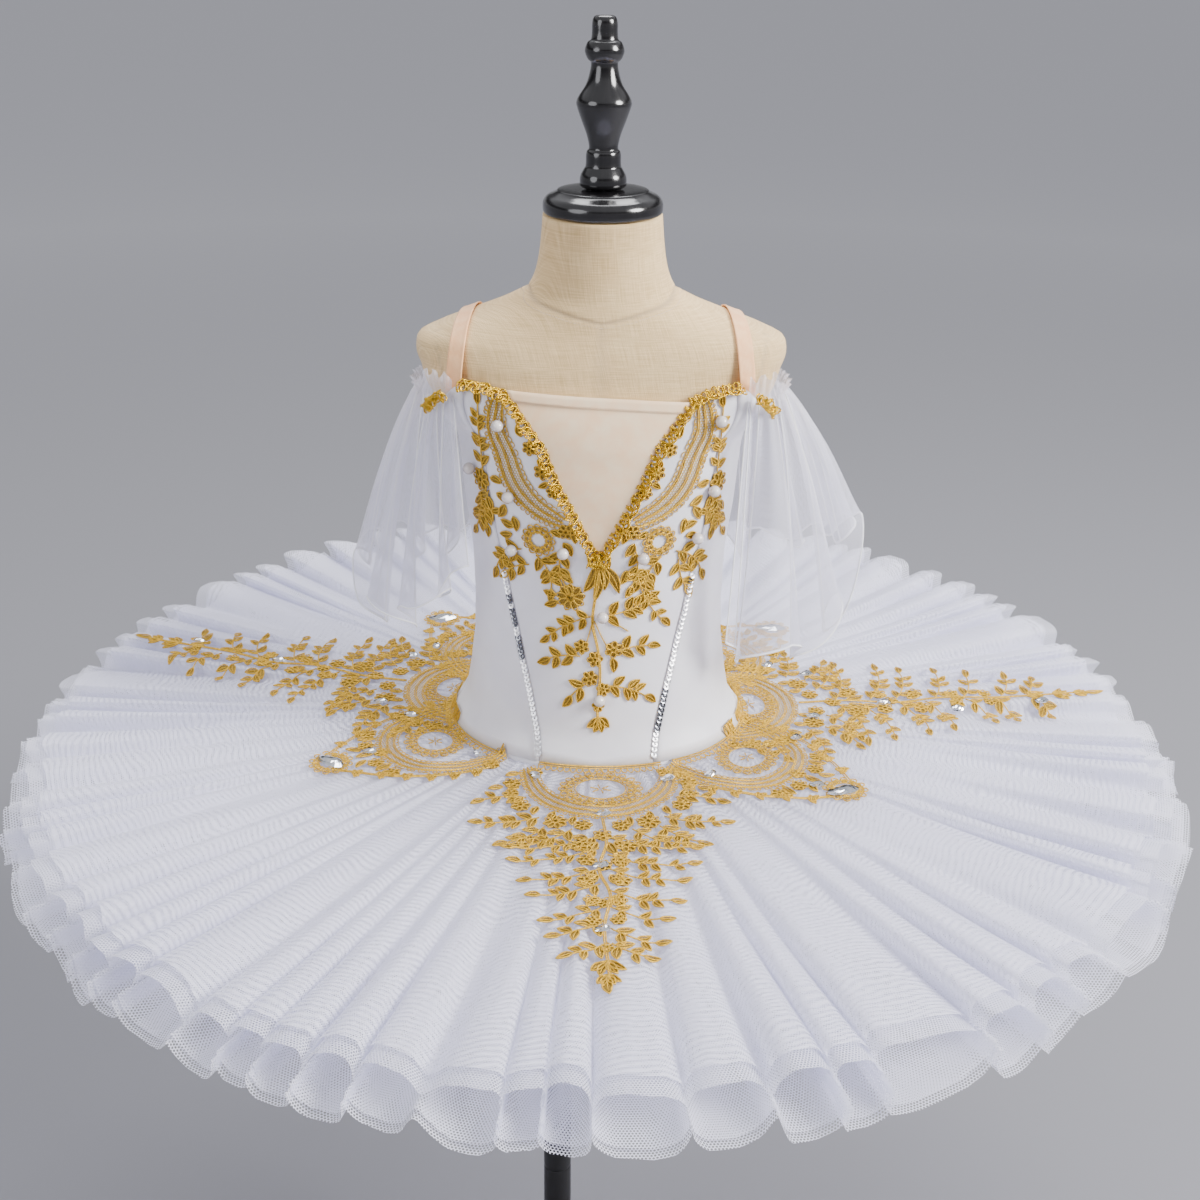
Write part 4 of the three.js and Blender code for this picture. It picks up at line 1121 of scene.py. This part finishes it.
def bodice_lace(side, sign):
    """Crescent, flowers and leaves from the neckline to the side of the bust."""
    lace = Lace()

    def angle(degrees):
        """0 points away from the middle of the body, 90 upward."""
        a = math.radians(degrees)
        return a if sign > 0 else math.pi - a

    outline = ((28, 300), (34.5, 279), (36.6, 258), (33, 238), (25, 222), (13.5, 210))
    lace.crescent([at(sign, phi, z) for phi, z in outline], 17, picot_side=sign)
    for phi, z, radius in ((24.5, 266, 5.5), (20.5, 249, 6.2), (16.5, 234, 5), (54, 233, 9), (12.5, 203, 6)):
        lace.flower(at(sign, phi, z), radius, 6 if radius < 7 else 8, phi)

    def leaves(*rows):
        """Rows of angle round the body, height, direction and length."""
        for phi, z, degrees, length in rows:
            lace.leaf(at(sign, phi, z), angle(degrees), length)

    def sprigs(*rows):
        """Rows of angle round the body, height, direction, length, pairs, leaf and bend."""
        for phi, z, degrees, length, pairs, leaf, bend in rows:
            lace.sprig(at(sign, phi, z), angle(degrees), length, pairs, leaf, bend)

    leaves((22, 258, -120, 8), (18.5, 241, -30, 8), (25.5, 274, 70, 9))
    sprigs((52, 242, 95, 52, 5, 9, 0.15 * sign), (49, 226, -80, 30, 3, 10, -0.3 * sign),
           (55, 222, -70, 34, 3, 10, 0.35 * sign))
    leaves((47, 237, -170, 11), (44, 226, -150, 12), (40, 218, -60, 13), (36, 210, -100, 12), (43, 213, -20, 10))
    lace.wreath(at(sign, 25, 194), 10.5, 10.5, 12, heart=False)
    leaves((19, 203, -150, 9), (14, 194, -120, 12), (10, 205, -100, 11))
    sprigs((34, 184, -45, 34, 3, 9.5, -0.5 * sign), (27, 181, -110, 30, 3, 9, 0.5 * sign),
           (15, 188, -95, 30, 3, 9, -0.4 * sign))
    leaves((38, 195, -10, 11), (36, 202, 15, 12))
    if sign < 0:
        lace.flower(at(sign, 12, 149), 11, 9, 0.2)
        leaves((18.5, 150, 15, 10), (18, 145, -25, 11))
        sprigs((31, 172, -30, 22, 2, 9, 0.3))
    else:
        sprigs((17, 166, -62, 42, 4, 9.5, 0.25))
        leaves((12, 172, -110, 12))
        sprigs((36, 176, -72, 26, 2, 10, 0.2))
    return lace.build(f"bodice_lace_{side}_look", bodice_place, f"bodice_lace_{side}")


def bodice_drop():
    """The spray that falls from the vee down the middle of the front."""
    lace = Lace()
    down = -math.pi / 2
    for turn, length, x in ((-0.42, 24, -2), (-0.12, 30, 0), (0.16, 20, 2), (0.5, 26, 4)):
        lace.leaf((x, 176), down + turn, length, 7.5)
    stem = catmull([(0, 172), (-3, 150), (-5, 128), (0, 105), (2, 84), (0, 60), (1, 44)], 36)
    lace.cord(stem, 0.65, 0.9)
    lace.cord(stem + (1.2, 0), 0.5, 0.8)
    lace.cord(catmull([(-4, 132), (-9, 112), (-13, 101)], 10), 0.5, 0.8)
    lace.cord(catmull([(-3, 130), (6, 112), (13, 103)], 10), 0.5, 0.8)
    lace.cord(catmull([(2, 136), (10, 131), (17, 126), (24, 121)], 10), 0.5, 0.8)
    lace.sprig((4, 134), 0.35, 36, 3, 10, 0.2)
    lace.sprig((-6, 134), math.pi + 0.55, 38, 4, 8.5, 0.25)
    for x, z, radius in ((-13, 108, 6), (-2, 98, 6.5), (13, 106, 7), (-6, 82, 6.5), (1, 60, 5), (5, 73, 5.5)):
        lace.flower((x, z), radius, 6, x)
    lace.sprig((16, 104), 0.1, 24, 2, 9, -0.3)
    lace.sprig((-14, 100), math.pi + 0.2, 24, 2, 10, 0.3)
    lace.sprig((8, 76), -0.35, 32, 3, 9.5, -0.3)
    lace.sprig((-8, 78), math.pi + 0.75, 17, 1, 10, 0.2)
    lace.leaf((12, 99), down + 0.1, 12)
    for turn in (-0.9, -0.3, 0.3, 0.9):
        lace.leaf((1, 50), down + turn, 12)
    return lace.build("bodice_lace_drop_look", bodice_place, "bodice_lace_drop")


def satin_hem(azimuth):
    p = skin(azimuth, HIP_SEAM + 0 * azimuth, CLEARANCE + SATIN + HIP_SPRING)
    return np.hypot(p[..., 0], p[..., 1])


def plate_place(azimuth):
    """Lays flat points, across and outward from the middle, on the top net at an azimuth."""
    turn = math.radians(azimuth)
    out, along = np.array([math.sin(turn), -math.cos(turn)]), np.array([math.cos(turn), math.sin(turn)])

    def place(flat, height):
        xy = flat[:, :1] * along + flat[:, 1:] * out
        radius = np.hypot(xy[:, 0], xy[:, 1])
        around = np.degrees(np.arctan2(xy[:, 0], -xy[:, 1]))
        hem = satin_hem(around)
        radius = np.maximum(radius, hem - 3.5)
        inside = np.clip(1 - (hem - radius) / HIP_SPRING, 0, 1) ** (1 / 1.3)
        climb = HIP_SEAM + SPRING_ABOVE * (1 - inside) + 0.4
        lap = np.where(radius < hem, climb, HIP_SEAM + 0.6 - 0.35 * (radius - hem))
        z = np.maximum(plate_heights.at(around, np.maximum(radius, hem + 3)) + 0.3, lap) + height
        turned = np.radians(around)
        return np.stack([radius * np.sin(turned), -radius * np.cos(turned), z], -1)

    return place


def hip_border(lace, azimuth, half):
    """Cords and scallops that follow the hip line under the motifs."""
    turn = np.radians(np.linspace(-half, half, 60))
    hip = satin_hem(azimuth + np.degrees(turn)) - 4
    for extra, radius in ((3.7, 0.7), (5.2, 0.6)):
        lace.cord(np.stack([(hip + extra) * np.sin(turn), (hip + extra) * np.cos(turn)], -1), radius, 0.7)
    arc = np.linspace(0, math.pi, 7)
    for k in range(2, 58, 3):
        sine, cosine = math.sin(turn[k]), math.cos(turn[k])
        across, out = np.array([cosine, -sine]), np.array([sine, cosine])
        loop = out * (hip[k] + 5.6) + across * (2.4 * np.cos(arc))[:, None] + out * (4.2 * np.sin(arc))[:, None]
        lace.cord(loop, 0.5, 0.8)


def mirrored(draw):
    for side in (-1, 1):
        draw(side, lambda a: a if side > 0 else math.pi - a)


def drop_motif(name, azimuth, reach):
    """Wreath and crescent at the hip, then a spray that tapers out over the plate."""
    lace = Lace()
    start = 160.0  # further out than this the motif stretches to its reach
    stretch = (reach - start) / (DROP_REACH - start)

    def far(v):
        return v if v < start else start + (v - start) * stretch

    hip_border(lace, azimuth, 27)
    lace.wreath((0, 127), 31, 23, 20)
    outline = [(-56, 96), (-47, 130), (-26, 151), (0, 158), (26, 151), (47, 130), (56, 96)]
    lace.crescent(outline, 15, count=90)

    def half(side, angle):
        flowers = ((34, 172, 9, 8, side), (14, 177, 7, 7, 0), (60, 150, 7.5, 7, 0), (67, 118, 7, 7, 0.4),
                   (50, 103, 6, 6, 0.2), (68, 134, 6, 6, 0.1))
        for u, v, radius, petals, turn in flowers:
            lace.flower((side * u, far(v)), radius, petals, turn)
        leaves = ((62, 104, 0.3), (62, 126, -0.4), (58, 139, 0.9), (74, 124, 0.2), (47, 152, 1.2),
                  (35, 159, 1.3), (20, 166, 1.4))
        for u, v, lean in leaves:
            lace.leaf((side * u, v), angle(lean), 11, 5.5)
        lace.sprig((side * 56, 140), angle(0.1), 32, 2, 10, 0.4 * side)
        sprigs = ((46, 166, 0.15, 42, 4, 0.3), (22, 182, 0.5, 40, 3, 0.35), (42, 178, 0.65, 34, 3, 0.3))
        for u, v, lift, length, pairs, bend in sprigs:
            lace.sprig((side * u, far(v)), angle(lift), length, pairs, 10, -bend * side)
        tiers = ((192, 62, 0.2), (211, 58, 0.24), (232, 50, 0.28), (254, 44, 0.3), (277, 36, 0.36),
                 (298, 32, 0.42), (318, 24, 0.5))
        for k, (v, length, lift) in enumerate(tiers):
            lift += 0.12 * (rng.random() - 0.5)
            pairs = 4 if length > 50 else 3 if length > 38 else 2
            lace.sprig((side * 3, far(v + 4 * side * (k % 2))), angle(lift), length, pairs, 9.5, -0.35 * side)
        flowers = ((17, 203, 8, 7), (12, 222, 7, 6), (12, 246, 7, 6), (9, 270, 6, 6), (8, 292, 5.5, 6))
        for u, v, radius, petals in flowers:
            lace.flower((side * u, far(v)), radius, petals)
        lace.leaf((side * 4, far(240)), angle(0.9), 15)
        lace.leaf((side * 4, far(266)), angle(0.9), 14)
        lace.leaf((side * 4, far(200)), angle(1.2), 16, 7)

    mirrored(half)
    stem = catmull([(0, far(168)), (2, far(200)), (-4, far(232)), (3, far(264)), (-2, far(300)), (0, far(350))], 60)
    lace.cord(stem, 0.7, 0.8)
    lace.cord(stem + (1.3, 0), 0.5, 0.75)
    for v, radius in ((190, 7), (228, 6), (272, 5.5), (322, 4.5)):
        lace.flower((0, far(v)), radius, 6, v)
    for turn in (-0.85, -0.4, 0.4, 0.85):
        lace.leaf((0, far(336)), math.pi / 2 + turn, 15, 6)
        lace.leaf((0, far(350)), math.pi / 2 + turn * 0.9, 11, 5)
    lace.leaf((0, reach - 17), math.pi / 2, 16, 6.5)
    return lace.build(f"plate_lace_{name}_look", plate_place(azimuth), f"plate_lace_{name}")


def medallion_motif(name, azimuth, reach):
    """A wreath inside a crescent, with a leafy border that runs out to a point."""
    lace = Lace()
    hip_border(lace, azimuth, 23)
    lace.wreath((0, 141), 25, 23, 17)
    outline = [(-44, 98), (-45, 136), (-30, 167), (0, 179), (30, 167), (45, 136), (44, 98)]
    lace.crescent(outline, 13, count=84)

    def half(side, angle):
        for k in range(6):
            v = 122 + 17 * k
            u = (57, 55, 50, 42, 32, 22)[k]
            lace.leaf((side * u, v), angle(0.9), 11, 5)
            lace.leaf((side * (u - 3), v + 6), angle(-0.1), 10, 4.5)
        edge = ((56, 112), (55, 140), (47, 172), (32, 200), (14, 224))
        border = catmull([(side * u, v) for u, v in edge], 36)
        lace.cord(border, 0.6, 0.8)
        lace.cord(border - (side * 2.2, 0), 0.45, 0.7)
        lace.flower((side * 33, 187), 7, 7, 0.2)
        lace.flower((side * 14, 194), 6.5, 7, 0.5)
        lace.flower((side * 52, 112), 6.5, 7, 0.2)
        lace.leaf((side * 22, 184), angle(1.3), 14, 6)
        lace.leaf((side * 8, 200), angle(1.0), 12, 5)

    mirrored(half)
    lace.wreath((0, reach - 17), 15, 15, 12, heart=False)
    lace.flower((0, 186), 6, 6)
    lace.leaf((0, 192), math.pi / 2, 14, 6)
    return lace.build(f"plate_lace_{name}_look", plate_place(azimuth), f"plate_lace_{name}")


# ---- braid, sequins, pearls and stones ----------------------------------------------------------

def gimp(bundle, path, normal, seed=0, size=1.0):
    """Scrolled gimp braid: strands that loop over one another along a path."""
    run = lengths(path)
    count = int(run[-1] / 0.42)
    s = np.linspace(0, run[-1], count)
    mid = np.stack([np.interp(s, run, path[:, k]) for k in range(3)], -1)
    up = unit(np.stack([np.interp(s, run, normal[:, k]) for k in range(3)], -1))
    ahead = unit(np.gradient(mid, axis=0))
    aside = np.cross(ahead, up)
    scallop = 1 + 0.16 * np.sin(TURN * s / 15 + seed)
    strands = [(8.4, 3.7, 4.6, 0), (8.4, 3.7, 4.6, TURN / 2), (6.0, 2.9, 2.7, 1.0), (12.0, 2.8, 5.4, 2.0)]
    for pitch, forward, wide, start in strands:
        a = TURN * s / (pitch * size) + start
        p = (mid + ahead * (size * forward * np.sin(a))[:, None]
             + aside * (size * wide * scallop * np.cos(a))[:, None]
             + up * (1.0 + 0.95 * np.sin(2 * a + start))[:, None])
        bundle.add(*tube(p, up, 0.66))


def braid(side, sign):
    """Braid along the neckline on one side, with half of the knot at the foot of the vee."""
    phi = np.concatenate([NECKLINE[:8, 0], [43]])
    z = np.concatenate([NECKLINE[:8, 1], [305]])
    places = catmull(np.stack([phi, z], -1)[1:], 90)
    places = np.concatenate([[(0.9, 184)], places])
    offset = satin_skin(places[:, 1]) + 1.0
    path = skin(sign * places[:, 0], places[:, 1], offset)
    high = skin(sign * places[:, 0], places[:, 1], offset + 1)
    across = unit(np.cross(np.gradient(path, axis=0), high - path)) * sign
    path = path + across * BRAID_INSET
    bundle = Bundle()
    gimp(bundle, path, high - path, sign)
    knot = skin(np.array([sign * 1.6]), np.array([181.0]), 3.8)[0]
    t = np.linspace(0, TURN, 110)
    for k in range(3):
        a, b = 4.6 - 0.7 * k, 3 + k
        x, y, z = a * np.sin(2 * t + k) + sign * 1.2, 1.2 * np.cos(5 * t) - 1.5, a * 1.15 * np.sin(b * t + 1)
        loop = np.stack([x, y, z], -1)
        bundle.add(*tube(knot + loop, np.tile((0.0, -1.0, 0.0), (110, 1)), 0.6))
    return dress(bundle.build(f"braid_{side}_look", [BRAID]), "gold_braid", f"braid_{side}")


def sleeve_braid(side, sign):
    places = np.array([(47.5, 303), (52, 300), (57, 296), (62, 293)], float)
    places = catmull(places, 30)
    offset = SLEEVE_CLEARANCE + 8.5  # over the folds of the heading
    path = skin(sign * places[:, 0], places[:, 1] - 3.5, offset + 0 * places[:, 0])
    high = skin(sign * places[:, 0], places[:, 1] - 3.5, offset + 1 + 0 * places[:, 0])
    bundle = Bundle()
    gimp(bundle, path, high - path, 2 + sign, 0.8)
    return dress(bundle.build(f"sleeve_braid_{side}_look", [BRAID]), "gold_braid", f"sleeve_braid_{side}")


def stamp(bundle, points, faces, centre, axes, index=0):
    bundle.add(centre + points @ axes, faces, points[:, :2] / 1000, index)


def surface_axes(place, flat, height, turn=0.0):
    """A place on a surface and its sideways, upward and outward axes."""
    near = np.array([flat, (flat[0] + 3, flat[1]), (flat[0], flat[1] + 3)], float)
    p = place(near, np.full(3, float(height)))
    right, up = unit(p[1] - p[0]), unit(p[2] - p[0])
    out = np.cross(right, up)
    out = unit(out * np.sign(out @ (place(near[:1], np.array([height + 1.0]))[0] - p[0])))
    up = np.cross(out, right)
    c, s = math.cos(turn), math.sin(turn)
    return p[0], np.stack([c * right + s * up, -s * right + c * up, out])


def sequins(side, sign):
    """Cup sequins lapped down the princess seam."""
    rings = np.array([(0.6, 0.5), (1.4, 0.35), (2.3, 0.4), (2.8, 0.65)])
    turn = np.arange(12) / 12 * TURN
    cup = np.stack(np.broadcast_arrays(rings[:, :1] * np.cos(turn), rings[:, :1] * np.sin(turn), rings[:, 1:]), -1)
    faces = grid_faces(4, 12, closed=True)
    bundle = Bundle()
    for z in np.arange(159, 15, -3.7):
        flat = flat_place(sign * float(seam_angle(z)), z)
        tilt = 0.24 + 0.10 * rng.random()
        roll = 0.2 * (rng.random() - 0.5)
        # Painted dark reflections: in the runs that lie in shade most sequins take the darker copy of the finish,
        # elsewhere only a few.
        in_painted_shade = 92 < z < 142 if sign < 0 else 38 < z < 68
        dark = int(rng.random() < (0.8 if in_painted_shade else 0.08))
        centre, axes = surface_axes(bodice_place, flat, 0.5)
        local = Matrix.Rotation(-tilt, 3, "X") @ Matrix.Rotation(roll, 3, "Y")
        stamp(bundle, cup.reshape(-1, 3) @ np.array(local).T, faces, centre, axes, dark)
    return dress(bundle.build(f"sequin_trim_{side}_look", [SEQUIN, SEQUIN_PAINTED_DARK]), "sequin", f"sequin_trim_{side}")


# Pearls on the bodice: angle round the body and height.
PEARLS = [
    (-32, 281), (-59.5, 240), (-36, 227), (-38, 183), (-14, 187), (2, 135), (1, 65), (38, 285),
    (49, 229), (43, 193), (18, 183),
]


def pearls():
    """Round pearls sewn on the bodice lace."""
    radius = 4.5
    rise = np.linspace(0.01, math.pi - 0.01, 15)[:, None]
    turn = np.arange(24) / 24 * TURN
    x, y, z = np.sin(rise) * np.cos(turn), np.sin(rise) * np.sin(turn), np.cos(rise) + 0 * turn
    ball = radius * np.stack([x, y, z], -1)
    bundle = Bundle()
    for phi, z in PEARLS:
        centre, axes = surface_axes(bodice_place, flat_place(phi, z), 1.2 + radius * 0.85)
        stamp(bundle, ball.reshape(-1, 3), grid_faces(15, 24, closed=True), centre, axes)
    return dress(bundle.build("pearls", [PEARL]), "pearl")


def cut_stone(wide, tall, sides=12, pointed=False):
    """A faceted stone: girdle, crown facets and a table."""
    turn = np.arange(sides) / sides * TURN
    power = 1.45 if pointed else 1.0
    x = np.sign(np.cos(turn)) * np.abs(np.cos(turn)) ** (1 / power)
    y = np.sign(np.sin(turn)) * np.abs(np.sin(turn)) ** power
    outline = np.stack([wide / 2 * x, tall / 2 * y], -1)
    rows = [(1.0, 0.2), (1.0, 0.9), (0.72, 2.2), (0.45, 2.9), (0.02, 3.1)]
    rings = [np.concatenate([outline * f, np.full((sides, 1), h)], 1) for f, h in rows]
    for k in (2, 3):
        shift = TURN / sides / 2 * (k - 1)
        c, s = math.cos(shift), math.sin(shift)
        rings[k][:, :2] = rings[k][:, :2] @ np.array([[c, s], [-s, c]])
    return np.concatenate(rings), grid_faces(len(rows), sides, closed=True)


# Stones on the plate: azimuth, distance from the middle, turn in degrees.
STONES = [
    (2, 162, 0), (1, 228, 0), (1, 302, 0), (-23, 119, -30), (-50, 121, 0), (26, 125, 0), (40, 137, 10),
    (-67, 194, 60), (-84, 154, 60), (-92, 181, 90), (-120, 189, 70), (-128, 184, 40),
    (-106, 292, 90), (-108, 377, 90), (55, 206, -50), (74, 167, -30), (87, 179, 90), (119, 171, 100),
    (110, 193, 90), (94, 242, 90), (92, 302, 90), (93, 375, 90), (179, 162, 0), (180, 228, 0),
    (180, 302, 0), (157, 120, 0), (203, 120, 0), (140, 140, 0), (220, 140, 0),
]
MARQUISES = [(-66, 226, -66 + 90), (56, 226, 56 + 90), (135, 226, 135 + 90), (220, 226, 220 + 90)]


def stones():
    bundle = Bundle()
    oval, big = cut_stone(12, 7.4), cut_stone(27, 12.5, 14, pointed=True)
    for shape, places in ((oval, STONES), (big, MARQUISES)):
        for azimuth, radius, turn in places:
            centre, axes = surface_axes(plate_place(azimuth), (0, radius), 1.2, math.radians(turn))
            stamp(bundle, shape[0], shape[1], centre, axes)
    return dress(bundle.build("plate_stones", [STONE], flat=True), "stone")


# ---- studio -------------------------------------------------------------------------------------

def studio():
    floor = bpy.data.meshes.new("floor")
    reach = 90.0
    corners = [(-reach, -reach, 0), (reach, -reach, 0), (reach, reach, 0), (-reach, reach, 0)]
    floor.from_pydata(corners, [], [(0, 1, 2, 3)])
    s = Shader("floor_painted_shade", Roughness=0.8)
    # Painted shade: the floor is dark near the middle, round the stand, and grows lighter far off.
    away = s.vector("LENGTH", s.node("NewGeometry", 0), output="Value")
    s.put(s.mix(s.steps(away, 0.4, 6.0), (0.19, 0.19, 0.21, 1), (0.56, 0.56, 0.60, 1)), s.base)
    floor.materials.append(s.material)
    obj = bpy.data.objects.new("floor", floor)
    bpy.context.scene.collection.objects.link(obj)

    world_look = bpy.data.worlds.new("studio")
    world_look.use_nodes = True
    tree = world_look.node_tree
    split = tree.nodes.new("ShaderNodeSeparateXYZ")
    ramp = tree.nodes.new("ShaderNodeValToRGB")
    tree.links.new(tree.nodes.new("ShaderNodeTexCoord").outputs["Generated"], split.inputs[0])
    tree.links.new(split.outputs[2], ramp.inputs[0])
    tree.links.new(ramp.outputs[0], tree.nodes["Background"].inputs[0])
    bands = ((0.0, 0.62), (0.12, 0.5), (0.2, 0.06), (0.34, 0.08), (0.46, 0.9), (0.8, 1.0))
    for place, level in bands:
        stop = ramp.color_ramp.elements.new(place)
        stop.color = (level * 0.97, level * 0.98, level * 1.03, 1)
    for end in (0, -1):  # the two stops that a new ramp comes with
        ramp.color_ramp.elements.remove(ramp.color_ramp.elements[end])
    tree.nodes["Background"].inputs[1].default_value = 0.75
    bpy.context.scene.world = world_look

    def softbox(name, place, aim, size, power, colour):
        data = bpy.data.lights.new(name, "AREA")
        data.shape, data.size, data.energy, data.color = "DISK", size, power, colour
        light = bpy.data.objects.new(name, data)
        light.location = place
        light.rotation_euler = (Vector(aim) - Vector(place)).to_track_quat("-Z", "Y").to_euler()
        bpy.context.scene.collection.objects.link(light)

    middle = (BODY[0], 0, BODY[2] + 0.1)
    softbox("key", (2.35, -0.8, 2.2), middle, 1.3, 176, (1.0, 0.99, 0.98))
    softbox("fill", (-2.0, -1.7, 1.9), middle, 1.8, 36, (0.95, 0.96, 1.0))
    softbox("top", (0.1, 0.9, 2.9), middle, 1.6, 58, (0.98, 0.98, 1.0))


def camera():
    """Level with the finial, looking down on the plate."""
    data = bpy.data.cameras.new("camera")
    data.lens, data.sensor_width = 46.5, 36
    obj = bpy.data.objects.new("camera", data)
    pitch, roll = math.radians(24.4), math.radians(0.7)
    ahead = Vector((0, math.cos(pitch), -math.sin(pitch)))
    right, up = Vector((1, 0, 0)), Vector((0, math.sin(pitch), math.cos(pitch)))
    tilted = right * math.cos(roll) + up * math.sin(roll)
    upright = tilted.cross(ahead)
    obj.matrix_world = Matrix([tilted, upright, -ahead]).transposed().to_4x4()
    obj.location = BODY + np.array([0.0014, -1.137, 0.627])
    bpy.context.scene.collection.objects.link(obj)
    bpy.context.scene.camera = obj


# ---- build --------------------------------------------------------------------------------------

stand()
torso()
bodice()
nude_insert()
brief()
plate_heights = PlateHeights(net_layer("net_top", NET_FINE))
for layer_name in ("net_second", "net_third", "net_under"):
    net_layer(layer_name, NET)
for side_name, side_sign in (("left", -1), ("right", 1)):
    strap(side_name, side_sign)
    sleeve(side_name, side_sign)
    sleeve_braid(side_name, side_sign)
    braid(side_name, side_sign)
    bodice_lace(side_name, side_sign)
    sequins(side_name, side_sign)
bodice_drop()
for motif_name, motif_azimuth, motif_reach in DROPS:
    drop_motif(motif_name, motif_azimuth, motif_reach)
for motif_name, motif_azimuth in MEDALLIONS:
    medallion_motif(motif_name, motif_azimuth, MEDALLION_REACH)
pearls()
stones()
studio()
camera()
